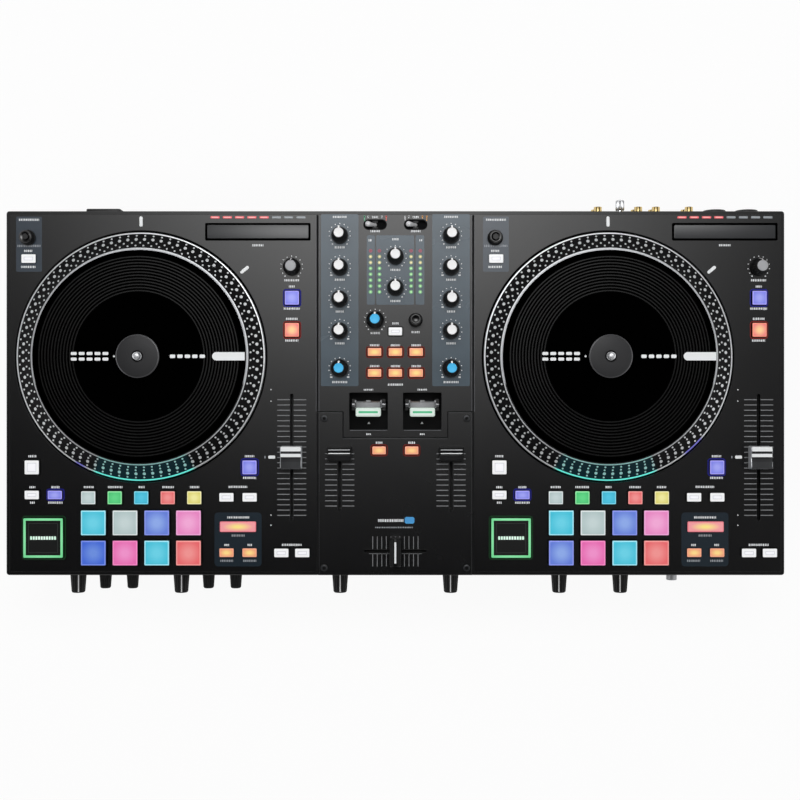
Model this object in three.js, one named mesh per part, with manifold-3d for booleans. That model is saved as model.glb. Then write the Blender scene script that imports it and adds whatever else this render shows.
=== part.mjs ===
// A two-deck DJ controller: casing, motor platters, mixer, keys, pads, faders and sockets
// Millimetres, +Z up, the user at -Y, resting on the ground plane z = 0
import * as THREE from 'three';
import { mergeVertices } from 'three/addons/utils/BufferGeometryUtils.js';
import Module from 'manifold-3d';

// Clearances
const seatGap = 0.3;
const runningGap = 0.3;
const keyGap = 0.45;
const shaftHoleGap = 0.8;
const panelLift = 0.6;
const overrun = 3;

// Casing
const footHeight = 8.7;
const footRadius = 14;
const footChamfer = 1.5;
const footInset = 34;
const trayHeight = 81.7;
const trayWall = 3;
const trayFloor = 3;
const trayInset = 0.8;
const cornerRadius = 3;
const trayInnerRadius = 1.5;
const panelThickness = 4;
const panelBevel = 0.8;
const boardThickness = 1.6;
const boardMargin = 2.5;
const bossRadius = 3;
const bossInset = 8;

// Platter, well and motor
const wellGap = 2.8;
const wellWall = 2;
const wellFloor = 2;
const wellDepth = 8.5;
const platterLift = 1.5;
const platterRimRise = 1.5;
const strobeSlopeRise = 7;
const discRadius = 91.5;
const ringWidth = 3;
const discThickness = 2.5;
const discRecess = 1;
const hubRadius = 18.8;
const hubFlare = 3;
const hubHeight = 5.7;
const hubBevel = 1;
const spindleRadius = 3.75;
const spindleProud = 6;
const spindleDome = 1.3;
const motorRadius = 42;
const motorHeight = 26;
const motorBossRadius = 12;
const motorBossHeight = 5;
const motorShaftLength = 20;

// Room round the wells
const wellSideMargin = 6.4;
const wellRearMargin = 15.8;
const frontZone = 79;
const pitchColumnRoom = 42.6;
const mixerWidth = 135;

// Keys and the webs that join them below the panel
const webThickness = 1.6;
const webStrip = 6;
const keyRise = 2.2;
const padRise = 3;
const startRise = 3;
const smallKeyWidth = 12.8;
const smallKeyDepth = 7.9;
const squareKeyDepth = 12.5;
const modeKeyDepth = 11.7;
const padSize = 21.9;
const padPitch = 27.45;
const padRowPitch = 26;
const padRow = 18.9;
const startKeySize = 34.7;
const startColumn = 32;
const startRow = 31.9;
const startPadGap = 14.9;
const loopPadGap = 16.5;
const cueColumn = 22;
const syncColumn = 42;
const cueRow = 69.2;
const shiftRow = 92.9;
const modeColumnShift = 0.05;
const modeSpread = 0.35;
const modeKeySteps = 4;
const modeRow = 66.6;
const parameterPitch = 20.1;
const parameterInset = 79.1;
const loopKeyWidth = 31.9;
const loopKeyDepth = 9.6;
const loopRow = 41.4;
const bendRow = 19.1;
const bendPitch = 18.1;
const pitchInset = 22.4;
const bendShift = 0.2;
const slipInset = 75.3;
const censorInset = 103.1;
const backColumn = 19.1;
const backInset = 41.6;
const rearStripInset = 9;
const pitchStripInset = 10;

// Deck knobs, touch strip and pitch fader
const browseColumn = 19;
const browseInset = 23.2;
const browseRadius = 6.75;
const browseHeight = 13;
const stopKnobInset = 48.4;
const stopKnobRadius = 7.5;
const stopKnobHeight = 15;
const touchStripWidth = 90.2;
const touchStripDepth = 13.7;
const touchStripRise = 0.8;
const touchStripSideInset = 52.1;
const touchStripRearInset = 17.7;
const pitchFaderRow = 102.2;
const pitchFaderTravel = 50;
const pitchCapWidth = 18.3;
const pitchCapLength = 20;
const pitchCapHeight = 10;

// Mixer
const channelColumnInset = 19.2;
const levelInset = 21.1;
const toneRowPitch = 27.6;
const filterInset = 136.5;
const channelKnobRadius = 7.4;
const channelKnobHeight = 20;
const channelCapRadius = 4.6;
const filterKnobRadius = 8.1;
const mainKnobInset = 39.3;
const boothKnobInset = 66.4;
const effectColumn = 17.5;
const effectInset = 94.6;
const beatEncoderRadius = 6.1;
const beatEncoderHeight = 14;
const tapInset = 104.9;
const effectKeyPitch = 18.05;
const effectKeyInset = 122.7;
const effectKeyRowPitch = 18.1;
const effectKeyWidth = 12.2;
const effectKeyDepth = 7.4;
const headphoneKeyColumn = 14.1;
const headphoneKeyDrop = 11.1;
const mixerStripWidth = 8;
const sourceColumn = 17.6;
const sourceInset = 11.7;
const sourceSlotWidth = 18.2;
const sourceSlotDepth = 7;
const sourceLean = 42;
const sourcePivotDrop = 2.6;
const sourceNeckRadius = 1.5;
const sourceNeckLength = 3.6;
const sourceTipRadius = 2.5;
const sourceTipReach = 9.2;
const sourceAxleRadius = 1;
const sourceCheekWidth = 4.4;
const sourceCheekThickness = 1.3;
const sourceCheekGap = 0.4;
const sourceCheekRise = 1.8;
const sourceBodyWidth = 10;

// Effect paddles
const paddleColumn = 23.3;
const paddleWindowGap = 13.05;
const paddleWindowRim = 7.35;
const paddleWindowWidth = 33.2;
const paddleWindowDepth = 31.9;
const paddleWidth = 23.5;
const paddleSetback = 5.5;
const paddleArmThickness = 2.4;
const paddleAxleRadius = 2.5;
const paddleAxleHeight = 7;
const paddleAxleOverhang = 3;
const paddleFlangeDepth = 5.5;
const paddleFlangeThickness = 3;
const paddleFlangeRise = 5;
const paddleTipWidth = 21.6;
const paddleTipDepth = 7.7;
const paddleTipHeight = 7.5;
const cradleWall = 2.6;

// Fader plate and faders
const faderPlateThickness = 2;
const faderPlateEarDepth = 22.6;
const faderPlateNotchWidth = 91.2;
const faderPlateLedge = 6;
const channelFaderTravel = 45;
const channelFaderDrop = 13.8;
const channelCapWidth = 20.4;
const channelCapLength = 13;
const channelCapHeight = 12;
const crossfaderTravel = 22.5;
const crossfaderRow = 20.9;
const crossCapWidth = 10.6;
const crossCapLength = 24;
const crossCapHeight = 14;
const faderSlotWidth = 3;
const faderStemThickness = 1.8;
const faderStemLength = 5;
const faderStemDip = 4;
const faderTrackWidth = 8;
const faderTrackHeight = 7;
const capTaper = 2;
const capDish = 1.6;

// Shafts and pots on the main board
const shaftRadius = 2.6;
const shaftGrip = 9;
const potSize = 9.5;
const potDepth = 8;
const knobSkirtHeight = 3;
const knobSkirtStep = 1.6;

// Front edge
const frontAxisDrop = 45;
const frontBigRadius = 7.7;
const frontBigTipRadius = 6;
const frontBigLength = 22.1;
const frontSmallRadius = 6;
const frontSmallTipRadius = 4.6;
const frontSmallLength = 18.2;
const frontKnobGap = 0.5;
const frontShaftReach = 12;
const riserSetback = 6;
const riserHeight = 16;
const riserMargin = 10;
const microphoneOneInset = 50.7;
const microphoneTwoInset = 143.9;
const microphoneTonePitch = 24.6;
const microphoneTonePitchTwo = 49.2;
const contourOnePlace = 50.1;
const contourTwoPlace = 49.7;
const cueMixInset = 189.7;
const cueLevelInset = 134.4;
const headphoneInset = 88;
const headphoneBore = 3.25;
const headphoneFlangeRadius = 6.6;
const headphoneNeckRadius = 4.8;
const headphoneProud = 5;
const headphoneBody = 15;
const headphoneBodyDepth = 26;
const headphoneBoreDepth = 27;

// Rear edge
const rearAxisDrop = 45;
const phonoInsetOne = 155.9;
const phonoInsetTwo = 119.7;
const phonoInsetThree = 103.8;
const phonoInsetFour = 74.2;
const phonoStack = 16;
const phonoRadius = 4.15;
const phonoProud = 10.6;
const phonoBlockWidth = 12;
const phonoBlockDepth = 9;
const phonoBoardMargin = 11;
const phonoBoardHeight = 34;
const groundInset = 134.6;
const groundRadius = 4;
const groundProud = 17.8;
const outputInsetOne = 49.4;
const outputInsetTwo = 20.4;
const outputRadius = 10.5;
const outputNeckRadius = 9.8;
const outputBoreRadius = 8;
const outputProud = 8;
const outputBoreDepth = 20;
const outputBlockMargin = 11.2;
const outputBlockHeight = 25;
const outputBlockDepth = 14;
const inletInset = 76.1;
const inletFlangeWidth = 31;
const inletFlangeHeight = 26;
const inletBodyWidth = 27.5;
const inletBodyHeight = 21.5;
const inletPocketWidth = 24;
const inletPocketHeight = 17;
const inletProud = 8;
const inletBodyDepth = 22;
const inletPocketDepth = 24;
const barrierWidth = 46;
const barrierHeight = 54;
const barrierThickness = 2.4;
const barrierSetback = 14;

// Sides of round things
const wellSides = 48;
const discSides = 48;
const knobSides = 12;
const shaftSides = 6;
const holeSides = 10;
const footSides = 16;
const cornerSteps = 4;

// Heights worked out from the stack
const trayBottom = footHeight + seatGap;
const panelBottom = trayBottom + trayHeight + seatGap;
const panelTop = panelBottom + panelThickness;
const wellFloorTop = panelTop - wellDepth;
const wellFloorBottom = wellFloorTop - wellFloor;
const webTop = wellFloorBottom - seatGap;
const webBottom = webTop - webThickness;
const keyTravel = 1.5;
const boardTop = webBottom - keyTravel - seatGap;
const boardBottom = boardTop - boardThickness;
const platterBottom = wellFloorTop + platterLift;
const platterRimTop = panelTop + platterRimRise;
const ringTop = platterRimTop + strobeSlopeRise;
const discSeat = ringTop - discRecess;
const discBottom = discSeat + seatGap;
const discTop = discBottom + discThickness;
const hubTop = discTop + hubHeight;
const frontAxisHeight = panelTop - frontAxisDrop;
const rearAxisHeight = panelTop - rearAxisDrop;
const knobBottom = panelTop + panelLift;
const faderTrackTop = boardTop + faderTrackHeight;

// Plan sizes: the keys and pads along the front set a deck's width, and the well fills it
const padsLeft = startColumn + startKeySize / 2 + startPadGap;
const padsRight = padsLeft + 3 * padPitch + padSize;
const padColumn = padsLeft + padSize / 2;
const modeColumn = padsLeft + smallKeyWidth / 2 + modeColumnShift;
const modePitch = (padsRight - padsLeft - smallKeyWidth + modeSpread) / modeKeySteps;
const loopColumn = padsRight + loopPadGap + loopKeyWidth / 2;
const parameterColumn = loopColumn - parameterPitch / 2;
const rangeColumn = parameterColumn + parameterPitch;
const deckWidth = parameterColumn + parameterInset;
const wellRadius = (deckWidth - wellSideMargin - pitchColumnRoom) / 2;
const platterRadius = wellRadius - wellGap;
const platterColumn = wellSideMargin + wellRadius;
const bodyWidth = 2 * deckWidth + mixerWidth;
const bodyDepth = frontZone + 2 * wellRadius + wellRearMargin;
const platterRow = frontZone + wellRadius;
const frontEdge = -bodyDepth / 2;
const rearEdge = bodyDepth / 2;
const trayFront = frontEdge + trayInset;
const trayRear = rearEdge - trayInset;
const frontReach = frontKnobGap + frontBigLength - trayInset;
const rearReach = groundProud - trayInset;
const channelColumn = mixerWidth / 2 - channelColumnInset;
const pitchColumn = deckWidth - pitchInset;
const pitchStripColumn = deckWidth - pitchStripInset;
const effectKeyReach = effectKeyInset + effectKeyRowPitch + effectKeyDepth / 2;
const paddleWindowInset = effectKeyReach + paddleWindowGap + paddleWindowDepth / 2;
const paddleWindowFront = bodyDepth - paddleWindowInset - paddleWindowDepth / 2;
const paddleRow = rearEdge - paddleWindowInset + paddleSetback;
const faderPlateNotchDepth = paddleWindowFront - paddleWindowRim;
const faderPlateDepth = faderPlateNotchDepth + faderPlateEarDepth;
const headphoneKeyRow = faderPlateNotchDepth - headphoneKeyDrop;
const channelFaderRow = faderPlateNotchDepth - channelFaderDrop;
const axleHeight = boardTop + paddleAxleHeight;
const sourcePivotHeight = panelTop - sourcePivotDrop;
const sourceCheekPlace = sourceNeckRadius + sourceCheekGap + sourceCheekThickness / 2;
const deckLefts = { left: -mixerWidth / 2 - deckWidth, right: mixerWidth / 2 };
const channelCentres = { left: -channelColumn, right: channelColumn };

// Places along the front and rear edges, worked out from the nearer side of the body
const bodyHalf = bodyWidth / 2;
const microphoneOnePlace = bodyHalf - microphoneOneInset;
const microphoneTwoPlace = bodyHalf - microphoneTwoInset;
const cueMixPlace = bodyHalf - cueMixInset;
const cueLevelPlace = bodyHalf - cueLevelInset;
const headphonePlace = bodyHalf - headphoneInset;
const phonoColumns = [phonoInsetOne, phonoInsetTwo, phonoInsetThree, phonoInsetFour].map(
  (inset) => bodyHalf - inset,
);
const groundPlace = bodyHalf - groundInset;
const outputPlaceOne = bodyHalf - outputInsetOne;
const outputPlaceTwo = bodyHalf - outputInsetTwo;
const inletPlace = bodyHalf - inletInset;

// Solids
const wasm = await Module();
wasm.setup();

function solidOf(geometry) {
  const bare = geometry.index ? geometry.toNonIndexed() : geometry.clone();
  bare.deleteAttribute('normal');
  bare.deleteAttribute('uv');
  const welded = mergeVertices(bare);
  const corners = welded.index.array;
  const triangles = [];
  for (let i = 0; i < corners.length; i += 3) {
    const [a, b, c] = [corners[i], corners[i + 1], corners[i + 2]];
    if (a !== b && b !== c && c !== a) triangles.push(a, b, c);
  }
  const mesh = new wasm.Mesh({
    numProp: 3,
    vertProperties: new Float32Array(welded.attributes.position.array),
    triVerts: new Uint32Array(triangles),
  });
  return new wasm.Manifold(mesh);
}

function joined(geometries) {
  return geometries.map(solidOf).reduce((whole, next) => whole.add(next));
}

function cut(whole, geometries) {
  return geometries.length ? whole.subtract(joined(geometries)) : whole;
}

function geometryOf(solid) {
  const mesh = solid.getMesh();
  const geometry = new THREE.BufferGeometry();
  geometry.setAttribute('position', new THREE.BufferAttribute(mesh.vertProperties, 3));
  geometry.setIndex(new THREE.BufferAttribute(mesh.triVerts, 1));
  geometry.computeVertexNormals();
  return geometry;
}

// Boxes stand on z, rods run from the place they are given
function box(width, depth, height, x, y, z) {
  return new THREE.BoxGeometry(width, depth, height).translate(x, y, z + height / 2);
}

function post(radius, height, x, y, z, sides) {
  const geometry = new THREE.CylinderGeometry(radius, radius, height, sides);
  return geometry.rotateX(Math.PI / 2).translate(x, y, z + height / 2);
}

function rodAlongX(radius, length, x, y, z, sides) {
  return new THREE.CylinderGeometry(radius, radius, length, sides).rotateZ(Math.PI / 2).translate(x, y, z);
}

function rodAlongY(radius, length, x, y, z, sides) {
  return new THREE.CylinderGeometry(radius, radius, length, sides).translate(x, y + length / 2, z);
}

function turned(profile, sides) {
  const points = profile.map(([radius, height]) => new THREE.Vector2(radius, height));
  return new THREE.LatheGeometry(points, sides).rotateX(Math.PI / 2);
}

function roundedOutline(width, depth, radius) {
  const x = width / 2 - radius;
  const y = depth / 2 - radius;
  const shape = new THREE.Shape();
  shape.absarc(x, -y, radius, -Math.PI / 2, 0);
  shape.absarc(x, y, radius, 0, Math.PI / 2);
  shape.absarc(-x, y, radius, Math.PI / 2, Math.PI);
  shape.absarc(-x, -y, radius, Math.PI, 1.5 * Math.PI);
  return shape;
}

function slab(outline, height, z) {
  const options = { depth: height, bevelEnabled: false, curveSegments: cornerSteps };
  return new THREE.ExtrudeGeometry(outline, options).translate(0, 0, z);
}

function bevelledSlab(outline, height, z, bevel) {
  const options = {
    depth: height - 2 * bevel,
    bevelThickness: bevel,
    bevelSize: bevel,
    bevelOffset: -bevel,
    bevelSegments: 1,
    curveSegments: cornerSteps,
  };
  return new THREE.ExtrudeGeometry(outline, options).translate(0, 0, z + bevel);
}

// Materials
function finish(color, roughness, metalness) {
  return new THREE.MeshStandardMaterial({ color, roughness, metalness });
}
const finishes = {
  panel: finish(0x1c1c1e, 0.5, 0.2),
  tray: finish(0x151516, 0.6, 0),
  plate: finish(0x202022, 0.45, 0.3),
  platter: finish(0xc8cacc, 0.25, 0.9),
  disc: finish(0x0c0c0d, 0.35, 0),
  knob: finish(0x101011, 0.5, 0),
  cap: finish(0x0e0e0f, 0.4, 0),
  silver: finish(0xc4c6c8, 0.3, 0.8),
  key: finish(0xe8ecef, 0.4, 0),
  pad: finish(0x6fb8d0, 0.6, 0),
  rubber: finish(0x0a0a0a, 0.9, 0),
  board: finish(0x1d4a2c, 0.5, 0),
  motor: finish(0x9a9da0, 0.4, 0.8),
  gold: finish(0xd4a840, 0.3, 0.9),
  socket: finish(0x0b0b0b, 0.5, 0),
};

// Key places on one deck: column from its left edge, row from the front edge, size and rise
function deckKeys() {
  const small = { width: smallKeyWidth, depth: smallKeyDepth, rise: keyRise };
  const square = { width: smallKeyWidth, depth: squareKeyDepth, rise: keyRise };
  const keys = [
    { ...small, column: backColumn, row: bodyDepth - backInset },
    { ...square, column: pitchColumn, row: bodyDepth - slipInset },
    { ...square, column: pitchColumn, row: bodyDepth - censorInset },
    { ...square, column: rangeColumn, row: shiftRow },
    { ...square, column: cueColumn, row: shiftRow },
    { ...small, column: cueColumn, row: cueRow },
    { ...small, column: syncColumn, row: cueRow },
    { column: startColumn, row: startRow, width: startKeySize, depth: startKeySize, rise: startRise },
    { column: loopColumn, row: loopRow, width: loopKeyWidth, depth: loopKeyDepth, rise: keyRise },
  ];
  for (const side of [0, 1]) {
    keys.push({ ...small, column: parameterColumn + side * parameterPitch, row: cueRow });
    keys.push({ ...small, column: parameterColumn + side * parameterPitch, row: bendRow });
    keys.push({ ...small, column: pitchColumn + bendShift + (side - 0.5) * bendPitch, row: bendRow });
  }
  for (const step of [0, 1, 2, 3, 4]) {
    const place = { column: modeColumn + step * modePitch, row: modeRow };
    keys.push({ ...place, width: smallKeyWidth, depth: modeKeyDepth, rise: keyRise });
  }
  return keys;
}

function padPlaces() {
  const places = [];
  for (const row of [0, 1]) {
    for (const step of [0, 1, 2, 3]) {
      const place = { column: padColumn + step * padPitch, row: padRow + row * padRowPitch };
      places.push({ ...place, width: padSize, depth: padSize, rise: padRise });
    }
  }
  return places;
}

// Key places on the mixer: column from its centre line, row from the front edge
function mixerKeys() {
  const small = { width: effectKeyWidth, depth: effectKeyDepth, rise: keyRise };
  const keys = [{ ...small, column: 0, row: bodyDepth - tapInset }];
  for (const step of [-1, 0, 1]) {
    for (const row of [0, 1]) {
      const inset = effectKeyInset + row * effectKeyRowPitch;
      keys.push({ ...small, column: step * effectKeyPitch, row: bodyDepth - inset });
    }
  }
  for (const side of [-1, 1]) {
    keys.push({ ...small, column: side * headphoneKeyColumn, row: headphoneKeyRow });
  }
  return keys;
}

function keyCaps(keys, left) {
  return keys.map((key) => {
    const height = panelTop + key.rise - webBottom;
    return box(key.width, key.depth, height, left + key.column, frontEdge + key.row, webBottom);
  });
}

function keyHoles(keys, left) {
  return keys.map((key) => {
    const [width, depth] = [key.width + 2 * keyGap, key.depth + 2 * keyGap];
    const height = panelThickness + 2 * overrun;
    return box(width, depth, height, left + key.column, frontEdge + key.row, panelBottom - overrun);
  });
}

// A web strip between two places on the same column or the same row
function strip(left, fromColumn, toColumn, fromRow, toRow) {
  const width = Math.abs(toColumn - fromColumn) || webStrip;
  const depth = Math.abs(toRow - fromRow) || webStrip;
  const x = left + (fromColumn + toColumn) / 2;
  const y = frontEdge + (fromRow + toRow) / 2;
  return box(width, depth, webThickness, x, y, webBottom);
}

function deckKeyWeb(left) {
  const sideStrip = rearStripInset;
  const slipRow = bodyDepth - slipInset;
  const censorRow = bodyDepth - censorInset;
  const backRow = bodyDepth - backInset;
  return joined([
    ...keyCaps(deckKeys(), left),
    strip(left, sideStrip, rangeColumn, cueRow, cueRow),
    strip(left, sideStrip, sideStrip, cueRow - webStrip / 2, backRow + webStrip / 2),
    strip(left, sideStrip, backColumn, backRow, backRow),
    strip(left, startColumn, startColumn, startRow, cueRow),
    strip(left, cueColumn, cueColumn, cueRow, shiftRow),
    strip(left, rangeColumn, rangeColumn, cueRow, shiftRow),
    strip(left, loopColumn, loopColumn, bendRow, cueRow),
    strip(left, parameterColumn, pitchStripColumn, bendRow, bendRow),
    strip(left, pitchStripColumn, pitchStripColumn, bendRow - webStrip / 2, slipRow + webStrip / 2),
    strip(left, pitchColumn, pitchStripColumn, slipRow, slipRow),
    strip(left, pitchColumn, pitchStripColumn, censorRow, censorRow),
  ]);
}

function padMat(left) {
  const width = 3 * padPitch + padSize;
  const depth = padRowPitch + padSize;
  const x = left + padColumn + 1.5 * padPitch;
  const y = frontEdge + padRow + padRowPitch / 2;
  return joined([...keyCaps(padPlaces(), left), box(width, depth, webThickness, x, y, webBottom)]);
}

function mixerKeyWeb() {
  const rows = [effectKeyInset, effectKeyInset + effectKeyRowPitch].map((inset) => bodyDepth - inset);
  const crossbars = rows.map((row) => strip(0, -effectKeyPitch, effectKeyPitch, row, row));
  const spineDepth = bodyDepth - tapInset - headphoneKeyRow + webStrip;
  const spineRow = frontEdge + headphoneKeyRow - webStrip / 2 + spineDepth / 2;
  return joined([
    ...keyCaps(mixerKeys(), 0),
    ...crossbars,
    strip(0, -headphoneKeyColumn, headphoneKeyColumn, headphoneKeyRow, headphoneKeyRow),
    box(mixerStripWidth, spineDepth, webThickness, 0, spineRow, webBottom),
  ]);
}

// Knobs and encoders that stand on the panel
function panelKnobs() {
  const knobs = [];
  const channel = { radius: channelKnobRadius, height: channelKnobHeight, cap: channelCapRadius };
  const filter = { ...channel, radius: filterKnobRadius };
  const browse = { radius: browseRadius, height: browseHeight, cap: browseRadius - knobSkirtStep };
  const stop = { radius: stopKnobRadius, height: stopKnobHeight, cap: channelCapRadius };
  const beatCap = beatEncoderRadius - knobSkirtStep;
  const beat = { radius: beatEncoderRadius, height: beatEncoderHeight, cap: beatCap };
  const toneRows = ['level_knob', 'high_knob', 'mid_knob', 'low_knob'];
  for (const side of ['left', 'right']) {
    const x = channelCentres[side];
    toneRows.forEach((name, step) => {
      knobs.push({ name: `${name}_${side}`, x, y: rearEdge - levelInset - step * toneRowPitch, ...channel });
    });
    knobs.push({ name: `filter_knob_${side}`, x, y: rearEdge - filterInset, ...filter });
    const left = deckLefts[side];
    const browsePlace = { x: left + browseColumn, y: rearEdge - browseInset };
    const stopPlace = { x: left + pitchColumn, y: rearEdge - stopKnobInset };
    knobs.push({ name: `browse_encoder_${side}`, ...browsePlace, ...browse });
    knobs.push({ name: `stop_time_knob_${side}`, ...stopPlace, ...stop });
  }
  knobs.push({ name: 'main_knob', x: 0, y: rearEdge - mainKnobInset, ...channel });
  knobs.push({ name: 'booth_knob', x: 0, y: rearEdge - boothKnobInset, ...channel });
  knobs.push({ name: 'effect_depth_knob', x: -effectColumn, y: rearEdge - effectInset, ...filter });
  knobs.push({ name: 'effect_beat_encoder', x: effectColumn, y: rearEdge - effectInset, ...beat });
  return knobs;
}

function panelKnob(knob) {
  const bore = shaftRadius + runningGap;
  const boreTop = shaftGrip + seatGap;
  const profile = [
    [0, boreTop],
    [bore, boreTop],
    [bore, 0],
    [knob.radius, 0],
    [knob.radius, knobSkirtHeight],
    [(knob.radius + knob.cap) / 2, knobSkirtHeight + knobSkirtStep],
    [knob.cap, knob.height],
    [0, knob.height],
  ];
  return solidOf(turned(profile, knobSides));
}

// Knobs on the front edge, turned about an axis that points at the user
function frontKnobs() {
  const big = { radius: frontBigRadius, tip: frontBigTipRadius, length: frontBigLength };
  const small = { radius: frontSmallRadius, tip: frontSmallTipRadius, length: frontSmallLength };
  return [
    { name: 'microphone_level_knob_1', x: -microphoneOnePlace, ...big },
    { name: 'microphone_high_knob_1', x: -microphoneOnePlace + microphoneTonePitch, ...small },
    { name: 'microphone_low_knob_1', x: -microphoneOnePlace + microphoneTonePitchTwo, ...small },
    { name: 'microphone_level_knob_2', x: -microphoneTwoPlace, ...big },
    { name: 'microphone_high_knob_2', x: -microphoneTwoPlace + microphoneTonePitch, ...small },
    { name: 'microphone_low_knob_2', x: -microphoneTwoPlace + microphoneTonePitchTwo, ...small },
    { name: 'fader_contour_knob_left', x: -contourOnePlace, ...big },
    { name: 'fader_contour_knob_right', x: contourTwoPlace, ...big },
    { name: 'cue_mix_knob', x: cueMixPlace, ...big },
    { name: 'cue_level_knob', x: cueLevelPlace, ...big },
  ];
}

function frontKnob(knob) {
  const bore = shaftRadius + runningGap;
  const boreEnd = frontShaftReach - frontKnobGap + seatGap;
  const profile = [
    [0, boreEnd],
    [bore, boreEnd],
    [bore, 0],
    [knob.radius, 0],
    [knob.tip, knob.length],
    [0, knob.length],
  ];
  return solidOf(turned(profile, knobSides).rotateX(Math.PI / 2));
}

// Faders: the cap's place at rest, and the lowest and highest place along its line
function faders() {
  const pitchCap = { width: pitchCapWidth, length: pitchCapLength, height: pitchCapHeight };
  const channelCap = { width: channelCapWidth, length: channelCapLength, height: channelCapHeight };
  const crossCap = { width: crossCapLength, length: crossCapWidth, height: crossCapHeight };
  const pitchY = frontEdge + pitchFaderRow;
  const channelY = frontEdge + channelFaderRow;
  const list = [];
  for (const side of ['left', 'right']) {
    const x = deckLefts[side] + pitchColumn;
    const [low, high] = [pitchY - pitchFaderTravel, pitchY + pitchFaderTravel];
    list.push({ name: `pitch_fader_${side}`, along: 'y', x, y: pitchY, low, high, ...pitchCap });
    const channel = { along: 'y', x: channelCentres[side], y: channelY, ...channelCap };
    const channelLow = channelY - channelFaderTravel;
    list.push({ name: `channel_fader_${side}`, low: channelLow, high: channelY, ...channel });
  }
  const cross = { along: 'x', x: 0, y: frontEdge + crossfaderRow, ...crossCap };
  list.push({ name: 'crossfader', low: -crossfaderTravel, high: crossfaderTravel, ...cross });
  return list;
}

function lineBox(fader, width, extra, height, z) {
  const length = fader.high - fader.low + 2 * extra;
  const middle = (fader.high + fader.low) / 2;
  return fader.along === 'y'
    ? box(width, length, height, fader.x, middle, z)
    : box(length, width, height, middle, fader.y, z);
}

function faderCap(fader) {
  const half = fader.length / 2;
  const outline = new THREE.Shape([
    new THREE.Vector2(-half, 0),
    new THREE.Vector2(half, 0),
    new THREE.Vector2(half - capTaper, fader.height),
    new THREE.Vector2(0, fader.height - capDish),
    new THREE.Vector2(capTaper - half, fader.height),
  ]);
  const options = { depth: fader.width, bevelEnabled: false };
  const cap = new THREE.ExtrudeGeometry(outline, options).translate(0, 0, -fader.width / 2);
  const turn = new THREE.Matrix4().makeBasis(
    new THREE.Vector3(0, 1, 0),
    new THREE.Vector3(0, 0, 1),
    new THREE.Vector3(1, 0, 0),
  );
  cap.applyMatrix4(turn);
  const stemBottom = faderTrackTop - faderStemDip - knobBottom;
  const stem = box(faderStemThickness, faderStemLength, capTaper - stemBottom, 0, 0, stemBottom);
  const solid = joined([cap, stem]);
  return fader.along === 'y' ? solid : joined([cap.rotateZ(Math.PI / 2), stem.rotateZ(Math.PI / 2)]);
}

function faderSlots() {
  const height = panelThickness + 2 * overrun;
  const extra = faderStemLength;
  return faders().map((fader) => lineBox(fader, faderSlotWidth, extra, height, panelBottom - overrun));
}

function faderTracks() {
  const extra = faderStemLength + trayWall;
  return faders().map((fader) => lineBox(fader, faderTrackWidth, extra, faderTrackHeight, boardTop));
}

function faderGrooves() {
  const width = faderStemThickness + 2 * runningGap;
  const extra = faderStemLength / 2 + runningGap;
  const bottom = faderTrackTop - faderStemDip - seatGap;
  return faders().map((fader) => lineBox(fader, width, extra, faderStemDip + seatGap + overrun, bottom));
}

// Source switches are small bat levers that lean to either side of their slots
function sourceSwitches() {
  return ['left', 'right'].map((side) => {
    const x = side === 'left' ? -sourceColumn : sourceColumn;
    return { name: `source_switch_${side}`, x, y: rearEdge - sourceInset };
  });
}

function sourceSwitch() {
  const shoulder = sourceTipReach - sourceTipRadius / 2;
  const bat = turned([
    [0, -sourceNeckRadius],
    [sourceNeckRadius, -sourceNeckRadius / 2],
    [sourceNeckRadius, sourceNeckLength],
    [sourceTipRadius, shoulder],
    [sourceTipRadius, sourceTipReach + sourceTipRadius / 3],
    [sourceTipRadius / 2, sourceTipReach + sourceTipRadius],
    [0, sourceTipReach + sourceTipRadius],
  ], knobSides).rotateY(-THREE.MathUtils.degToRad(sourceLean));
  const axleLength = 2 * sourceCheekPlace + sourceCheekThickness;
  const axle = rodAlongY(sourceAxleRadius, axleLength, 0, -axleLength / 2, 0, holeSides);
  return joined([bat, axle]);
}

function sourceSlots() {
  const height = panelThickness + 2 * overrun;
  return sourceSwitches().map((item) => {
    return box(sourceSlotWidth, sourceSlotDepth, height, item.x, item.y, panelBottom - overrun);
  });
}

// Each lever's axle turns in two cheeks that stand on a small switch body
function sourceBodies() {
  const bodyHeight = sourcePivotHeight - sourceNeckRadius - sourceCheekGap - boardTop;
  const bodyDepth = 2 * sourceCheekPlace + sourceCheekThickness;
  const cheekHeight = sourcePivotHeight + sourceCheekRise - boardTop;
  return sourceSwitches().flatMap(({ x, y }) => [
    box(sourceBodyWidth, bodyDepth, bodyHeight, x, y, boardTop),
    box(sourceCheekWidth, sourceCheekThickness, cheekHeight, x, y - sourceCheekPlace, boardTop),
    box(sourceCheekWidth, sourceCheekThickness, cheekHeight, x, y + sourceCheekPlace, boardTop),
  ]);
}

function sourceBores() {
  const length = 2 * sourceCheekPlace + sourceCheekThickness + 2 * overrun;
  return sourceSwitches().map(({ x, y }) => {
    return rodAlongY(sourceAxleRadius + runningGap, length, x, y - length / 2, sourcePivotHeight, holeSides);
  });
}

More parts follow.
